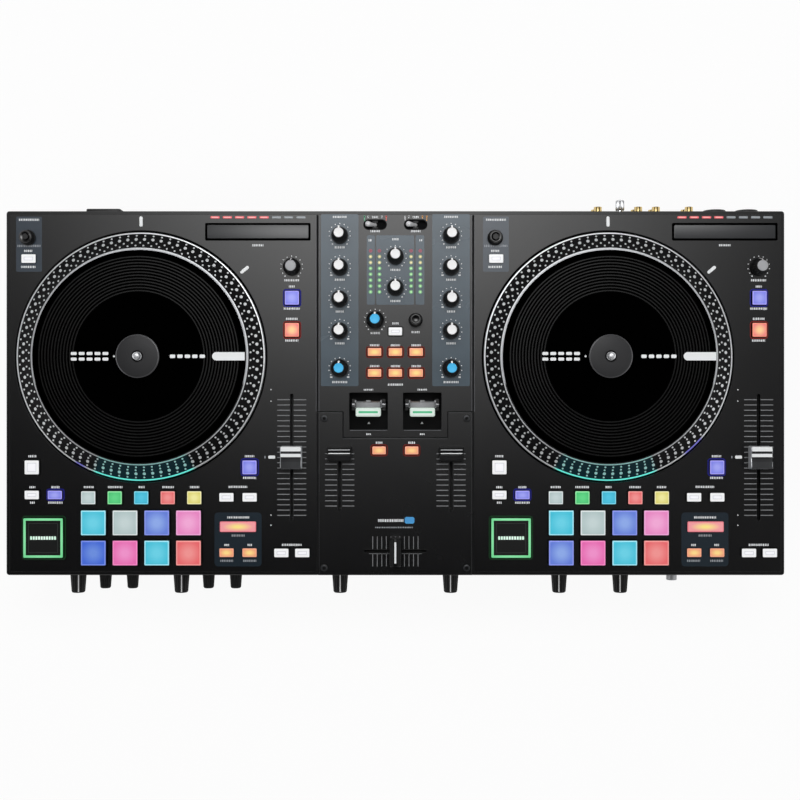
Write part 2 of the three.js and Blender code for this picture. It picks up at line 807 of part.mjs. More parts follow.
// Effect paddles rock about an axle held in cradles on the main board
function paddle() {
  const axle = rodAlongX(paddleAxleRadius, paddleWidth + 2 * paddleAxleOverhang, 0, 0, 0, knobSides);
  const flangeBottom = panelTop + paddleFlangeRise - axleHeight;
  const arm = box(paddleWidth, paddleArmThickness, flangeBottom + seatGap, 0, 0, 0);
  const flange = box(paddleWidth, paddleFlangeDepth, paddleFlangeThickness, 0, 0, flangeBottom);
  const tipY = -(paddleFlangeDepth + paddleTipDepth) / 2 + seatGap;
  const tipBottom = flangeBottom + paddleFlangeThickness / 2 - paddleTipHeight / 2;
  const tip = box(paddleTipWidth, paddleTipDepth, paddleTipHeight, 0, tipY, tipBottom);
  return joined([axle, arm, flange, tip]);
}

function paddleCentres() {
  return { left: -paddleColumn, right: paddleColumn };
}

function paddleWindows() {
  const height = panelThickness + 2 * overrun;
  const y = rearEdge - paddleWindowInset;
  return Object.values(paddleCentres()).map((x) => {
    return box(paddleWindowWidth, paddleWindowDepth, height, x, y, panelBottom - overrun);
  });
}

function cradles() {
  const height = paddleAxleHeight + paddleAxleRadius / 2;
  const depth = 4 * paddleAxleRadius;
  const offset = (paddleWidth + paddleAxleOverhang) / 2;
  return Object.values(paddleCentres()).flatMap((x) => [-offset, offset].map((side) => {
    return box(cradleWall, depth, height, x + side, paddleRow, boardTop);
  }));
}

function cradleBores() {
  const length = paddleWidth + 2 * paddleAxleOverhang + 2 * overrun;
  return Object.values(paddleCentres()).map((x) => {
    return rodAlongX(paddleAxleRadius + runningGap, length, x, paddleRow, axleHeight, knobSides);
  });
}

// Casing
function chassisTray() {
  const width = bodyWidth - 2 * trayInset;
  const depth = bodyDepth - 2 * trayInset;
  const inner = roundedOutline(width - 2 * trayWall, depth - 2 * trayWall, trayInnerRadius);
  const wallCut = trayWall + 2 * overrun;
  const holes = [slab(inner, trayHeight, trayBottom + trayFloor)];
  const frontStart = trayFront - overrun;
  for (const knob of frontKnobs()) {
    const radius = shaftRadius + shaftHoleGap;
    holes.push(rodAlongY(radius, wallCut, knob.x, frontStart, frontAxisHeight, holeSides));
  }
  const neckHole = headphoneNeckRadius + runningGap;
  holes.push(rodAlongY(neckHole, wallCut, headphonePlace, frontStart, frontAxisHeight, knobSides));
  const rearStart = trayRear - trayWall - overrun;
  for (const place of phonoPlaces()) {
    holes.push(rodAlongY(phonoRadius + runningGap, wallCut, place.x, rearStart, place.z, knobSides));
  }
  const groundHole = groundRadius + runningGap;
  holes.push(rodAlongY(groundHole, wallCut, groundPlace, rearStart, rearAxisHeight, knobSides));
  for (const x of [outputPlaceOne, outputPlaceTwo]) {
    holes.push(rodAlongY(outputNeckRadius + runningGap, wallCut, x, rearStart, rearAxisHeight, footSides));
  }
  const inletHeight = inletBodyHeight + 2 * runningGap;
  const inletY = trayRear - trayWall / 2;
  const inletZ = rearAxisHeight - inletHeight / 2;
  holes.push(box(inletBodyWidth + 2 * runningGap, wallCut, inletHeight, -inletPlace, inletY, inletZ));
  const shell = solidOf(slab(roundedOutline(width, depth, cornerRadius), trayHeight, trayBottom));
  return cut(shell, holes).add(solidOf(mainsBarrier()));
}

// A rib on the tray's floor that keeps the mains inlet apart from the rest
function mainsBarrier() {
  const y = trayRear - trayWall - inletBodyDepth - barrierSetback;
  const height = barrierHeight + trayFloor / 2;
  return box(barrierWidth, barrierThickness, height, -inletPlace, y, trayBottom + trayFloor / 2);
}

function topPanel() {
  const bite = panelThickness / 2;
  const outline = roundedOutline(bodyWidth, bodyDepth, cornerRadius);
  const parts = [bevelledSlab(outline, panelThickness, panelBottom, panelBevel)];
  const holes = [...faderSlots(), ...sourceSlots(), ...paddleWindows(), ...keyHoles(mixerKeys(), 0)];
  const wellHeight = panelBottom + bite - wellFloorBottom;
  for (const left of Object.values(deckLefts)) {
    const x = left + platterColumn;
    const y = frontEdge + platterRow;
    parts.push(post(wellRadius + wellWall, wellHeight, x, y, wellFloorBottom, wellSides));
    holes.push(post(wellRadius, wellDepth + overrun, x, y, wellFloorTop, wellSides));
    const spindleHole = spindleRadius + shaftHoleGap;
    holes.push(post(spindleHole, 2 * overrun + wellFloor, x, y, wellFloorBottom - overrun, knobSides));
    const stripX = left + deckWidth - touchStripSideInset;
    const stripY = rearEdge - touchStripRearInset;
    const stripHeight = touchStripRise + bite;
    parts.push(box(touchStripWidth, touchStripDepth, stripHeight, stripX, stripY, panelTop - bite));
    for (const column of [bossInset, deckWidth - bossInset]) {
      for (const row of [bossInset, bodyDepth - bossInset]) {
        const height = panelBottom + bite - boardTop - seatGap;
        parts.push(post(bossRadius, height, left + column, frontEdge + row, boardTop + seatGap, shaftSides));
      }
    }
    holes.push(...keyHoles(deckKeys(), left), ...keyHoles(padPlaces(), left));
  }
  for (const knob of panelKnobs()) {
    const height = panelThickness + 2 * overrun;
    holes.push(post(shaftRadius + shaftHoleGap, height, knob.x, knob.y, panelBottom - overrun, holeSides));
  }
  return cut(joined(parts), [...holes, ...faderPlateSeat()]);
}

// The fader plate lies in a recess with a ledge all round and an opening below
function faderPlateSeat() {
  const depth = faderPlateThickness + seatGap;
  const recess = faderPlateOutline(mixerWidth, seatGap, depth + overrun, panelTop - depth);
  const openingWidth = mixerWidth - 2 * faderPlateLedge;
  const openingDepth = faderPlateNotchDepth - 2 * faderPlateLedge;
  const y = frontEdge + faderPlateNotchDepth / 2;
  const openingHeight = panelThickness + 2 * overrun;
  return [...recess, box(openingWidth, openingDepth, openingHeight, 0, y, panelBottom - overrun)];
}

// A full-width tongue with two ears beside the paddle windows
function faderPlateOutline(width, grow, height, z) {
  const front = frontEdge - grow;
  const tongueDepth = faderPlateNotchDepth + 2 * grow;
  const earWidth = (width - faderPlateNotchWidth) / 2 + grow;
  const earDepth = faderPlateDepth + 2 * grow;
  const earX = (width - earWidth) / 2;
  return [
    box(width, tongueDepth, height, 0, front + tongueDepth / 2, z),
    box(earWidth, earDepth, height, -earX, front + earDepth / 2, z),
    box(earWidth, earDepth, height, earX, front + earDepth / 2, z),
  ];
}

function faderPlate() {
  const z = panelTop - faderPlateThickness;
  const plate = faderPlateOutline(mixerWidth - 2 * seatGap, 0, faderPlateThickness, z);
  return cut(joined(plate), [...faderSlots(), ...keyHoles(mixerKeys(), 0)]);
}

function foot() {
  return solidOf(turned([
    [0, 0],
    [footRadius - footChamfer, 0],
    [footRadius, footChamfer],
    [footRadius, footHeight],
    [0, footHeight],
  ], footSides));
}

// Main board with pots below it, shafts and fader tracks above it, and a riser for the front knobs
function controlBoard() {
  const inner = trayInset + trayWall + boardMargin;
  const width = bodyWidth - 2 * inner;
  const riserY = trayFront + trayWall + riserSetback;
  const depth = rearEdge - inner - riserY;
  const parts = [box(width, depth, boardThickness, 0, riserY + depth / 2, boardBottom)];
  const bite = boardThickness / 2;
  for (const knob of panelKnobs()) {
    const height = knobBottom + shaftGrip - boardBottom - bite;
    parts.push(post(shaftRadius, height, knob.x, knob.y, boardBottom + bite, shaftSides));
    parts.push(box(potSize, potSize, potDepth + bite, knob.x, knob.y, boardBottom - potDepth));
  }
  const riserBottom = frontAxisHeight - riserHeight / 2;
  const riserLeft = -microphoneOnePlace - riserMargin;
  const riserRight = cueLevelPlace + riserMargin;
  const riserMiddle = (riserLeft + riserRight) / 2;
  const riserTop = boardTop - riserBottom;
  parts.push(box(riserRight - riserLeft, boardThickness, riserTop, riserMiddle, riserY + bite, riserBottom));
  const shaftStart = trayFront - frontShaftReach;
  for (const knob of frontKnobs()) {
    const length = riserY + bite - shaftStart;
    parts.push(rodAlongY(shaftRadius, length, knob.x, shaftStart, frontAxisHeight, shaftSides));
  }
  const tracks = [...faderTracks(), ...sourceBodies(), ...cradles()];
  const board = joined([...parts, ...tracks]);
  const grooves = [...faderGrooves(), ...sourceBores(), ...cradleBores()];
  const motorHoles = Object.values(deckLefts).map((left) => {
    const [x, y] = [left + platterColumn, frontEdge + platterRow];
    return post(motorRadius + overrun, boardThickness + 2 * overrun, x, y, boardBottom - overrun, footSides);
  });
  return cut(board, [...grooves, ...motorHoles]);
}

// Platter, control disc and motor
function platter() {
  const seat = platterBottom;
  const spindleTop = hubTop + spindleProud;
  return solidOf(turned([
    [0, webTop - motorShaftLength],
    [spindleRadius, webTop - motorShaftLength],
    [spindleRadius, seat],
    [platterRadius, seat],
    [platterRadius, platterRimTop],
    [discRadius + ringWidth, ringTop],
    [discRadius + seatGap, ringTop],
    [discRadius + seatGap, discSeat],
    [spindleRadius, discSeat],
    [spindleRadius, spindleTop - spindleDome],
    [spindleRadius - spindleDome, spindleTop],
    [0, spindleTop],
  ], discSides));
}

function controlDisc() {
  const bore = spindleRadius + runningGap;
  return solidOf(turned([
    [bore, discBottom],
    [discRadius, discBottom],
    [discRadius, discTop],
    [hubRadius + hubFlare, discTop],
    [hubRadius, hubTop - hubBevel],
    [hubRadius - hubBevel, hubTop],
    [bore, hubTop],
    [bore, discBottom],
  ], discSides));
}

function motor() {
  const bottom = webTop - motorHeight;
  const bore = spindleRadius + runningGap;
  const boreBottom = webTop - motorShaftLength - seatGap;
  return solidOf(turned([
    [0, bottom - motorBossHeight],
    [motorBossRadius, bottom - motorBossHeight],
    [motorBossRadius, bottom],
    [motorRadius, bottom],
    [motorRadius, webTop],
    [bore, webTop],
    [bore, boreBottom],
    [0, boreBottom],
  ], footSides));
}

// Sockets
function phonoPlaces() {
  return phonoColumns.flatMap((x) => {
    return [-0.5, 0.5].map((level) => ({ x, z: rearAxisHeight + level * phonoStack }));
  });
}

function rearJackBoard() {
  const wallInner = trayRear - trayWall - seatGap;
  const boardFront = wallInner - phonoBlockDepth - boardThickness;
  const left = Math.min(...phonoColumns) - phonoBoardMargin;
  const right = Math.max(...phonoColumns) + phonoBoardMargin;
  const bottom = rearAxisHeight - phonoBoardHeight / 2;
  const middle = (left + right) / 2;
  const boardY = boardFront + boardThickness / 2;
  const parts = [box(right - left, boardThickness, phonoBoardHeight, middle, boardY, bottom)];
  const bite = boardThickness / 2;
  for (const place of phonoPlaces()) {
    const blockDepth = phonoBlockDepth + bite;
    const blockY = wallInner - blockDepth / 2;
    const blockZ = place.z - phonoStack / 2;
    parts.push(box(phonoBlockWidth, blockDepth, phonoStack, place.x, blockY, blockZ));
    const length = trayRear + phonoProud - wallInner + bite;
    parts.push(rodAlongY(phonoRadius, length, place.x, wallInner - bite, place.z, knobSides));
  }
  const groundStart = boardFront + bite;
  const groundLength = trayRear + groundProud - groundStart;
  parts.push(rodAlongY(groundRadius, groundLength, groundPlace, groundStart, rearAxisHeight, knobSides));
  return joined(parts);
}

function outputSockets() {
  const wallInner = trayRear - trayWall - seatGap;
  const bite = boardThickness / 2;
  const left = outputPlaceOne - outputBlockMargin;
  const right = outputPlaceTwo + outputBlockMargin;
  const blockY = wallInner - outputBlockDepth / 2;
  const blockZ = rearAxisHeight - outputBlockHeight / 2;
  const middle = (left + right) / 2;
  const parts = [box(right - left, outputBlockDepth, outputBlockHeight, middle, blockY, blockZ)];
  const bores = [];
  const collarStart = trayRear + seatGap;
  const mouth = trayRear + outputProud;
  for (const x of [outputPlaceOne, outputPlaceTwo]) {
    const neckStart = wallInner - bite;
    parts.push(rodAlongY(outputNeckRadius, mouth - neckStart, x, neckStart, rearAxisHeight, footSides));
    parts.push(rodAlongY(outputRadius, mouth - collarStart, x, collarStart, rearAxisHeight, footSides));
    const boreStart = mouth - outputBoreDepth;
    const boreLength = outputBoreDepth + overrun;
    bores.push(rodAlongY(outputBoreRadius, boreLength, x, boreStart, rearAxisHeight, footSides));
  }
  return cut(joined(parts), bores);
}

function powerInlet() {
  const wallInner = trayRear - trayWall;
  const collarStart = trayRear + seatGap;
  const mouth = trayRear + inletProud;
  const collarDepth = mouth - collarStart;
  const bodyDepthInside = mouth - wallInner + inletBodyDepth;
  const bodyY = mouth - bodyDepthInside / 2;
  const collarY = mouth - collarDepth / 2;
  const collarZ = rearAxisHeight - inletFlangeHeight / 2;
  const bodyZ = rearAxisHeight - inletBodyHeight / 2;
  const pocketZ = rearAxisHeight - inletPocketHeight / 2;
  const pocketDepth = inletPocketDepth + overrun;
  const pocketY = mouth + overrun - pocketDepth / 2;
  const body = joined([
    box(inletFlangeWidth, collarDepth, inletFlangeHeight, -inletPlace, collarY, collarZ),
    box(inletBodyWidth, bodyDepthInside, inletBodyHeight, -inletPlace, bodyY, bodyZ),
  ]);
  const pocket = box(inletPocketWidth, pocketDepth, inletPocketHeight, -inletPlace, pocketY, pocketZ);
  return cut(body, [pocket]);
}

function headphoneJack() {
  const wallInner = trayFront + trayWall + seatGap;
  const mouth = trayFront - headphoneProud;
  const bite = boardThickness / 2;
  const bodyY = wallInner + headphoneBodyDepth / 2;
  const bodyZ = frontAxisHeight - headphoneBody / 2;
  const flangeLength = headphoneProud - seatGap;
  const neckLength = wallInner - mouth + bite;
  const body = joined([
    rodAlongY(headphoneFlangeRadius, flangeLength, headphonePlace, mouth, frontAxisHeight, knobSides),
    rodAlongY(headphoneNeckRadius, neckLength, headphonePlace, mouth, frontAxisHeight, knobSides),
    box(headphoneBody, headphoneBodyDepth, headphoneBody, headphonePlace, bodyY, bodyZ),
  ]);
  const boreLength = headphoneBoreDepth + overrun;
  const boreStart = mouth - overrun;
  const bore = rodAlongY(headphoneBore, boreLength, headphonePlace, boreStart, frontAxisHeight, knobSides);
  return cut(body, [bore]);
}

// Assembly, centred on its outer box
const controller = new THREE.Group();
controller.position.y = (frontReach - rearReach) / 2;

function place(name, solid, material, x = 0, y = 0, z = 0) {
  const mesh = new THREE.Mesh(geometryOf(solid), material);
  mesh.name = name;
  mesh.position.set(x, y, z);
  controller.add(mesh);
}

place('chassis_tray', chassisTray(), finishes.tray);
place('top_panel', topPanel(), finishes.panel);
place('fader_plate', faderPlate(), finishes.plate);
place('control_board', controlBoard(), finishes.board);
place('rear_jack_board', rearJackBoard(), finishes.gold);
place('output_sockets', outputSockets(), finishes.socket);
place('power_inlet', powerInlet(), finishes.socket);
place('headphone_jack', headphoneJack(), finishes.socket);
const footX = bodyWidth / 2 - footInset;
const footY = bodyDepth / 2 - footInset;
place('foot_front_left', foot(), finishes.rubber, -footX, -footY);
place('foot_front_right', foot(), finishes.rubber, footX, -footY);
place('foot_rear_left', foot(), finishes.rubber, -footX, footY);
place('foot_rear_right', foot(), finishes.rubber, footX, footY);

for (const side of ['left', 'right']) {
  const left = deckLefts[side];
  const x = left + platterColumn;
  const y = frontEdge + platterRow;
  place(`motor_${side}`, motor(), finishes.motor, x, y);
  place(`platter_${side}`, platter(), finishes.platter, x, y);
  place(`control_disc_${side}`, controlDisc(), finishes.disc, x, y);
  place(`deck_keys_${side}`, deckKeyWeb(left), finishes.key);
  place(`pads_${side}`, padMat(left), finishes.pad);
  place(`effect_paddle_${side}`, paddle(), finishes.silver, paddleCentres()[side], paddleRow, axleHeight);
}
place('mixer_keys', mixerKeyWeb(), finishes.key);

for (const knob of panelKnobs()) {
  place(knob.name, panelKnob(knob), finishes.knob, knob.x, knob.y, knobBottom);
}
for (const knob of frontKnobs()) {
  place(knob.name, frontKnob(knob), finishes.knob, knob.x, trayFront - frontKnobGap, frontAxisHeight);
}
for (const fader of faders()) {
  place(fader.name, faderCap(fader), finishes.cap, fader.x, fader.y, knobBottom);
}
for (const item of sourceSwitches()) {
  place(item.name, sourceSwitch(), finishes.silver, item.x, item.y, sourcePivotHeight);
}

export default controller;
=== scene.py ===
import math

import bpy
from mathutils import Matrix, Vector


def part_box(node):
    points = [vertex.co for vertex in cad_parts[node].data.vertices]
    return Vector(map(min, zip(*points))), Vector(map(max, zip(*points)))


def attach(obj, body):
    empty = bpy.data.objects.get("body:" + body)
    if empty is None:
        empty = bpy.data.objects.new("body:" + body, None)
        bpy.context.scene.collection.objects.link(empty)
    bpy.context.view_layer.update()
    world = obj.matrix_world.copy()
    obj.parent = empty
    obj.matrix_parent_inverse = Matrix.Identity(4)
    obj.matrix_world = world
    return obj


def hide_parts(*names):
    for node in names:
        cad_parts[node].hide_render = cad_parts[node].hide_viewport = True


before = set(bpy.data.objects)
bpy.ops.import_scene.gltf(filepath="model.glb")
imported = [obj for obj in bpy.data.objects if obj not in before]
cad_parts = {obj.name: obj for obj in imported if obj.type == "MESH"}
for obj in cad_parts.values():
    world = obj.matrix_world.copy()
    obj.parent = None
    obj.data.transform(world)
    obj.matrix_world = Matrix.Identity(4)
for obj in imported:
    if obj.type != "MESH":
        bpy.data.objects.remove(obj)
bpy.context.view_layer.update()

# Sizes here are in millimetres and become metres in the meshes
MM = 0.001
SIDES = ("left", "right")
SIGNS = (-1, 1)


def box_of(name):
    """Lowest and highest corner of a CAD node."""
    return [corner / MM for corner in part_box(name)]


def centre_of(name):
    low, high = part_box(name)
    return (low + high) / 2 / MM


# The casing and the panel, from the frame
panel_low, panel_high = box_of("top_panel")
plate_low, plate_high = box_of("fader_plate")
tray_low, tray_high = box_of("chassis_tray")
TOP = plate_high.z
PANEL_THICKNESS = 4.0
PANEL_BOTTOM = TOP - PANEL_THICKNESS
FRONT, REAR = panel_low.y, panel_high.y
BODY_WIDTH = panel_high.x - panel_low.x
BODY_DEPTH = REAR - FRONT
MIDDLE_Y = (FRONT + REAR) / 2
MIXER_WIDTH = 135.0
DECK_LEFT = {"left": panel_low.x, "right": MIXER_WIDTH / 2}
DECK_WIDTH = (BODY_WIDTH - MIXER_WIDTH) / 2
CORNER = 2.4
EDGE_STEPS = 4
RIM_WIDTH = 2.8
RIM_DROP = 0.15
PRINT = 0.06
WELL_GAP = 1.8
KEY_GAP = 0.45
KEY_TRIM = 0.5
KEY_FOOT = PANEL_BOTTOM - 1.2


def from_rear(inset):
    """Row, measured from the front edge, of a place given from the rear edge."""
    return BODY_DEPTH - inset


# Node helpers for materials
VECTOR_MATH = "ShaderNodeVectorMath"


def feed(tree, made, values):
    """Links or sets each socket named."""
    for name, value in values.items():
        socket = made.inputs[name]
        if isinstance(value, bpy.types.NodeSocket):
            tree.links.new(value, socket)
        else:
            socket.default_value = value


def node(tree, kind, values=None, **settings):
    made = tree.nodes.new(kind)
    for name, value in settings.items():
        setattr(made, name, value)
    feed(tree, made, values or {})
    return made


def result(tree, operation, *values, kind="ShaderNodeMath", output=0):
    """Output of a math node."""
    return node(tree, kind, dict(enumerate(values)), operation=operation).outputs[output]


def rgb(hexcode):
    """Linear colour of a hex code as it looks on screen."""
    channels = [int(hexcode[i:i + 2], 16) / 255 for i in (0, 2, 4)]
    return (*(c / 12.92 if c <= 0.04045 else ((c + 0.055) / 1.055) ** 2.4 for c in channels), 1.0)


def new_tree(name):
    material = bpy.data.materials.new(name)
    material.use_nodes = True
    return material, material.node_tree, material.node_tree.nodes["Principled BSDF"]


def color_mix(tree, factor, first, second):
    """Blend of two colours."""
    mix = node(tree, "ShaderNodeMix", {0: factor}, data_type="RGBA")
    for socket, color in zip([s for s in mix.inputs if s.type == "RGBA"], (first, second)):
        socket.default_value = color
    return next(s for s in mix.outputs if s.type == "RGBA")


def grain(tree, scale, detail=4.0, stretch=(1, 1, 1)):
    """Noise that lies still on the object."""
    place = node(tree, "ShaderNodeTexCoord").outputs["Object"]
    mapping = node(tree, "ShaderNodeMapping", {"Vector": place, "Scale": stretch})
    noise = {"Vector": mapping.outputs[0], "Scale": scale, "Detail": detail}
    return node(tree, "ShaderNodeTexNoise", noise).outputs[0]


def bumps(tree, height, strength, distance=0.0002):
    values = {"Height": height, "Strength": strength, "Distance": distance}
    return node(tree, "ShaderNodeBump", values).outputs[0]


def surface(name, color, roughness, metallic=0.0, scale=900.0, bump=0.05, vary=0.12, stretch=(1, 1, 1),
            coat=0.0, rough_vary=0.12, specular=0.5):
    """A moulded, coated or machined surface: colour, roughness and height all follow a fine noise."""
    material, tree, shader = new_tree(name)
    fine = grain(tree, scale, stretch=stretch)
    broad = grain(tree, scale / 40, 2.0)
    base = rgb(color)[:3]
    dark = (*(c * (1 - vary) for c in base), 1.0)
    light = (*(min(1.0, c * (1 + vary)) for c in base), 1.0)
    factor = result(tree, "MULTIPLY_ADD", fine, broad, 0.25)
    rough = node(tree, "ShaderNodeMapRange", {"Value": broad, "From Min": 0.3, "From Max": 0.7,
                                              "To Min": roughness * (1 - rough_vary),
                                              "To Max": roughness * (1 + rough_vary)})
    feed(tree, shader, {"Base Color": color_mix(tree, factor, dark, light), "Roughness": rough.outputs[0],
                        "Normal": bumps(tree, fine, bump), "Metallic": metallic, "Coat Weight": coat,
                        "Specular IOR Level": specular})
    return material


def lit(name, edge, middle, strength=0.55, spread=(0.12, 0.5)):
    """A translucent key lit from below: a glow in the middle that fades towards the rim."""
    material, tree, shader = new_tree(name)
    place = node(tree, "ShaderNodeTexCoord").outputs["Generated"]
    centred = result(tree, "SUBTRACT", place, (0.5, 0.5, 0.5), kind=VECTOR_MATH)
    flat = result(tree, "MULTIPLY", centred, (1, 1, 0), kind=VECTOR_MATH)
    away = result(tree, "LENGTH", flat, kind=VECTOR_MATH, output="Value")
    ramp = node(tree, "ShaderNodeValToRGB", {"Fac": away})
    for mark, position, color in zip(ramp.color_ramp.elements, spread, (middle, edge)):
        mark.position, mark.color = position, rgb(color)
    shade = result(tree, "MULTIPLY", ramp.outputs[0], (0.5, 0.5, 0.5), kind=VECTOR_MATH)
    feed(tree, shader, {"Base Color": shade, "Emission Color": ramp.outputs[0], "Emission Strength": strength,
                        "Normal": bumps(tree, grain(tree, 1400), 0.04, 0.0001), "Roughness": 0.35})
    return material


def board_finish():
    """Green board with black switch and pot bodies on its upper side."""
    material, tree, shader = new_tree("circuit_board")
    place = node(tree, "ShaderNodeTexCoord").outputs["Object"]
    split = node(tree, "ShaderNodeSeparateXYZ", {"Vector": place})
    above = result(tree, "GREATER_THAN", split.outputs["Z"], BOARD_TOP * MM)
    traces = grain(tree, 300)
    rough = node(tree, "ShaderNodeMapRange", {"Value": traces, "To Min": 0.4, "To Max": 0.6})
    feed(tree, shader, {"Base Color": color_mix(tree, above, rgb("1b4a2b"), rgb("0b0b0c")),
                        "Normal": bumps(tree, traces, 0.15), "Roughness": rough.outputs[0]})
    return material


def ring_with_painted_light(name, rest, glow, stops, roughness, metallic=0.0, strength=0.0, specular=0.5):
    """A surface on the platter with painted lamp light: the glow of the lamps below its front edge is painted
    into its colour, and into its emission where it has strength, by the angle round the platter, so it turns
    with the platter; a dark stop paints shade instead.
    """
    material, tree, shader = new_tree(name)
    place = node(tree, "ShaderNodeTexCoord").outputs["Object"]
    turn = node(tree, "ShaderNodeTexGradient", {"Vector": place}, gradient_type="RADIAL")
    for socket, away in (("Base Color", rgb(rest)), ("Emission Color", (0, 0, 0, 1))):
        ramp = node(tree, "ShaderNodeValToRGB", {"Fac": turn.outputs["Fac"]})
        marks = ramp.color_ramp.elements
        marks[0].position, marks[0].color = 0.0, away
        marks[1].position, marks[1].color = 1.0, away
        for start, end, tint in stops:
            shown = rgb(tint or glow)
            for degrees, color in ((start - 1.5, away), (start, shown), (end, shown), (end + 1.5, away)):
                marks.new(degrees / 360 + 0.5).color = color
        feed(tree, shader, {socket: ramp.outputs[0]})
    feed(tree, shader, {"Emission Strength": strength, "Roughness": roughness, "Metallic": metallic,
                        "Specular IOR Level": specular, "Normal": bumps(tree, grain(tree, 900), 0.03)})
    return material


def panel_print(name, color, vary=0.05):
    return surface(name, color, 0.27, scale=1300, bump=0.03, vary=vary, rough_vary=0.02)


def ink(name, color, vary=0.12):
    return surface(name, color, 0.6, scale=1200, bump=0.03, vary=vary)


# Bands of painted shade on a fader cap
def cap_shade_band(name, color):
    return surface(name, color, 0.4, bump=0.04, specular=0.3)


# Materials
COATED = surface("coated_panel", "030304", 0.26, scale=1500, bump=0.02, vary=0.08, rough_vary=0.02)
RIM_FINISH = surface("panel_rim", "040405", 0.28, scale=1100, bump=0.02, specular=0.4, rough_vary=0.02)
# Light lines beside the joints and along a window's front edge: painted highlights of the edges
PLATE_EDGE_HIGHLIGHT = surface("painted_plate_highlight", "1e1f21", 0.4, scale=1500, bump=0.02)
EDGE_HIGHLIGHT = surface("painted_edge_highlight", "505155", 0.4, scale=1500, bump=0.02)
CASING = surface("casing_plastic", "0d0d0e", 0.5, scale=1100, bump=0.22, specular=0.35)
PLATE = surface("fader_plate_coating", "030304", 0.27, scale=1500, bump=0.02, rough_vary=0.02)
PIT = surface("dark_inside", "060607", 0.8, scale=700, bump=0.1, specular=0.2)
BLUE_GREY = panel_print("printed_blue_grey", "36444e")
BROWSE_BLUE = panel_print("printed_deep_blue", "2d3640")
LOOP_BLUE = panel_print("printed_dark_blue", "15212a", 0.06)
BADGE_BLUE = surface("printed_blue", "3f92cc", 0.45, scale=1200, bump=0.03)
SCALE_INK = ink("printed_scale", "747577", 0.05)
INK = ink("printed_white", "d9dbdd", 0.05)
FAINT_INK = ink("printed_grey", "8d9196", 0.05)
INK_GREEN = ink("printed_green", "6fc79a")
INK_RED = ink("printed_red", "e06a62")
INK_ORANGE = ink("printed_orange", "e8a860")
RIM_BLACK = surface("rim_black", "030303", 0.3, bump=0.03, specular=0.3)
DISC_BLACK = surface("disc_black", "010101", 0.5, scale=1200, bump=0.02, vary=0.08, specular=0.0)
DISC_LINE = surface("disc_line", "020202", 0.28, scale=1200, bump=0.02, vary=0.08, specular=0.2)
HUB_GREY = surface("hub_grey", "1b1b1d", 0.45, specular=0.35)
# The hub's bevel: its lighter grey is in part a painted highlight round the hub's edge, and its gloss catches
# real reflections
HUB_EDGE_HIGHLIGHT = surface("hub_edge_highlight", "58585a", 0.3, 0.5, bump=0.02)
SPINDLE = surface("satin_metal", "d4d5d8", 0.25, 0.6, scale=500, bump=0.02, vary=0.04)
KNOB_BLACK = surface("knob_black", "060607", 0.42, scale=1000, bump=0.10, specular=0.35)
# Lighter grey ring on a knob's skirt edge: a painted highlight
KNOB_EDGE_HIGHLIGHT = surface("knob_skirt_highlight", "4a4b4d", 0.35, scale=1000, bump=0.02)
KNOB_RUBBER = surface("knob_rubber", "080809", 0.6, scale=1200, bump=0.2, specular=0.3)
KNOB_WHITE = surface("knob_white", "ececec", 0.4, bump=0.03, vary=0.03)
KNOB_BLUE = surface("knob_blue", "3fb4e8", 0.4, bump=0.03, vary=0.04)
KNOB_GREY = surface("knob_grey", "9c9da0", 0.4, bump=0.04, vary=0.05)
CAP_BLACK = surface("cap_black", "030304", 0.4, scale=1000, specular=0.2)
CAP_SILVER = surface("cap_silver", "c9ccd0", 0.33, 0.45, bump=0.04, vary=0.05)
CAP_WHITE = surface("cap_white", "e6e8e9", 0.4, bump=0.02, vary=0.02)
# Painted shade bands on the pitch cap's top, darker towards its front
CAP_SHADE = cap_shade_band("cap_shade", "0c0d0e")
CAP_SHADE_SLATE = cap_shade_band("cap_shade_slate", "2a2b2d")
CAP_SHADE_GREY = cap_shade_band("cap_shade_grey", "1e1f21")
# A painted highlight line along the rear top edge of a channel fader cap
CAP_EDGE_HIGHLIGHT = surface("cap_edge_highlight", "a4a5a7", 0.5, bump=0.03)
LEVER = surface("switch_lever", "dcdcde", 0.3, 0.35, scale=500, bump=0.03, vary=0.05)
METAL = surface("lever_metal", "8b8c8e", 0.32, 0.85, scale=400, stretch=(1, 14, 1))
NUT_METAL = surface("socket_metal", "a9aaad", 0.38, 0.5, scale=400, bump=0.04)
CHROME = surface("bright_metal", "dcdddf", 0.16, 1.0, scale=400, bump=0.02, vary=0.03)
GOLD = surface("gold_plate", "d6bd84", 0.22, 1.0, scale=400, bump=0.02, vary=0.04)
STEEL = surface("screw_steel", "3a3b3d", 0.35, 0.8, scale=600)
SOCKET = surface("socket_plastic", "0c0c0d", 0.45, bump=0.12)
RED_PLASTIC = surface("red_plastic", "a5262a", 0.4, bump=0.04)
BOOT_RIB = surface("boot_rib", "2a2a2b", 0.5)
RUBBER = surface("foot_rubber", "0c0c0c", 0.85, scale=1400, bump=0.3)
STRIP_GREY = surface("touch_strip", "2c2d2f", 0.26, scale=1500, bump=0.03, rough_vary=0.02)
GLOSS_BLACK = surface("gloss_black", "050506", 0.14, scale=300, bump=0.01, coat=0.4)
BOARD_TOP = 81.3
BOARD = board_finish()
MOTOR = surface("motor_steel", "9c9ea1", 0.35, 0.8, scale=500)
LAMP_OFF = surface("lamp_off", "8f9499", 0.35, bump=0.02, vary=0.04)
LED_CYAN = "6ff5e6"
LED_VIOLET = "6f6cc0"
# Stretches of lamp light painted on the front of each platter, by angle
CYAN_ARC = {"left": (-111.5, -65.5, None), "right": (-114.5, -68.0, None)}
RING_LIGHT = {  # start and end angle of each stretch of painted lamp light, and its colour where it isn't the main one
    "left": [(-121.0, -117.5, LED_VIOLET), CYAN_ARC["left"]],
    "right": [CYAN_ARC["right"], (-51.0, -42.0, LED_VIOLET)],
}
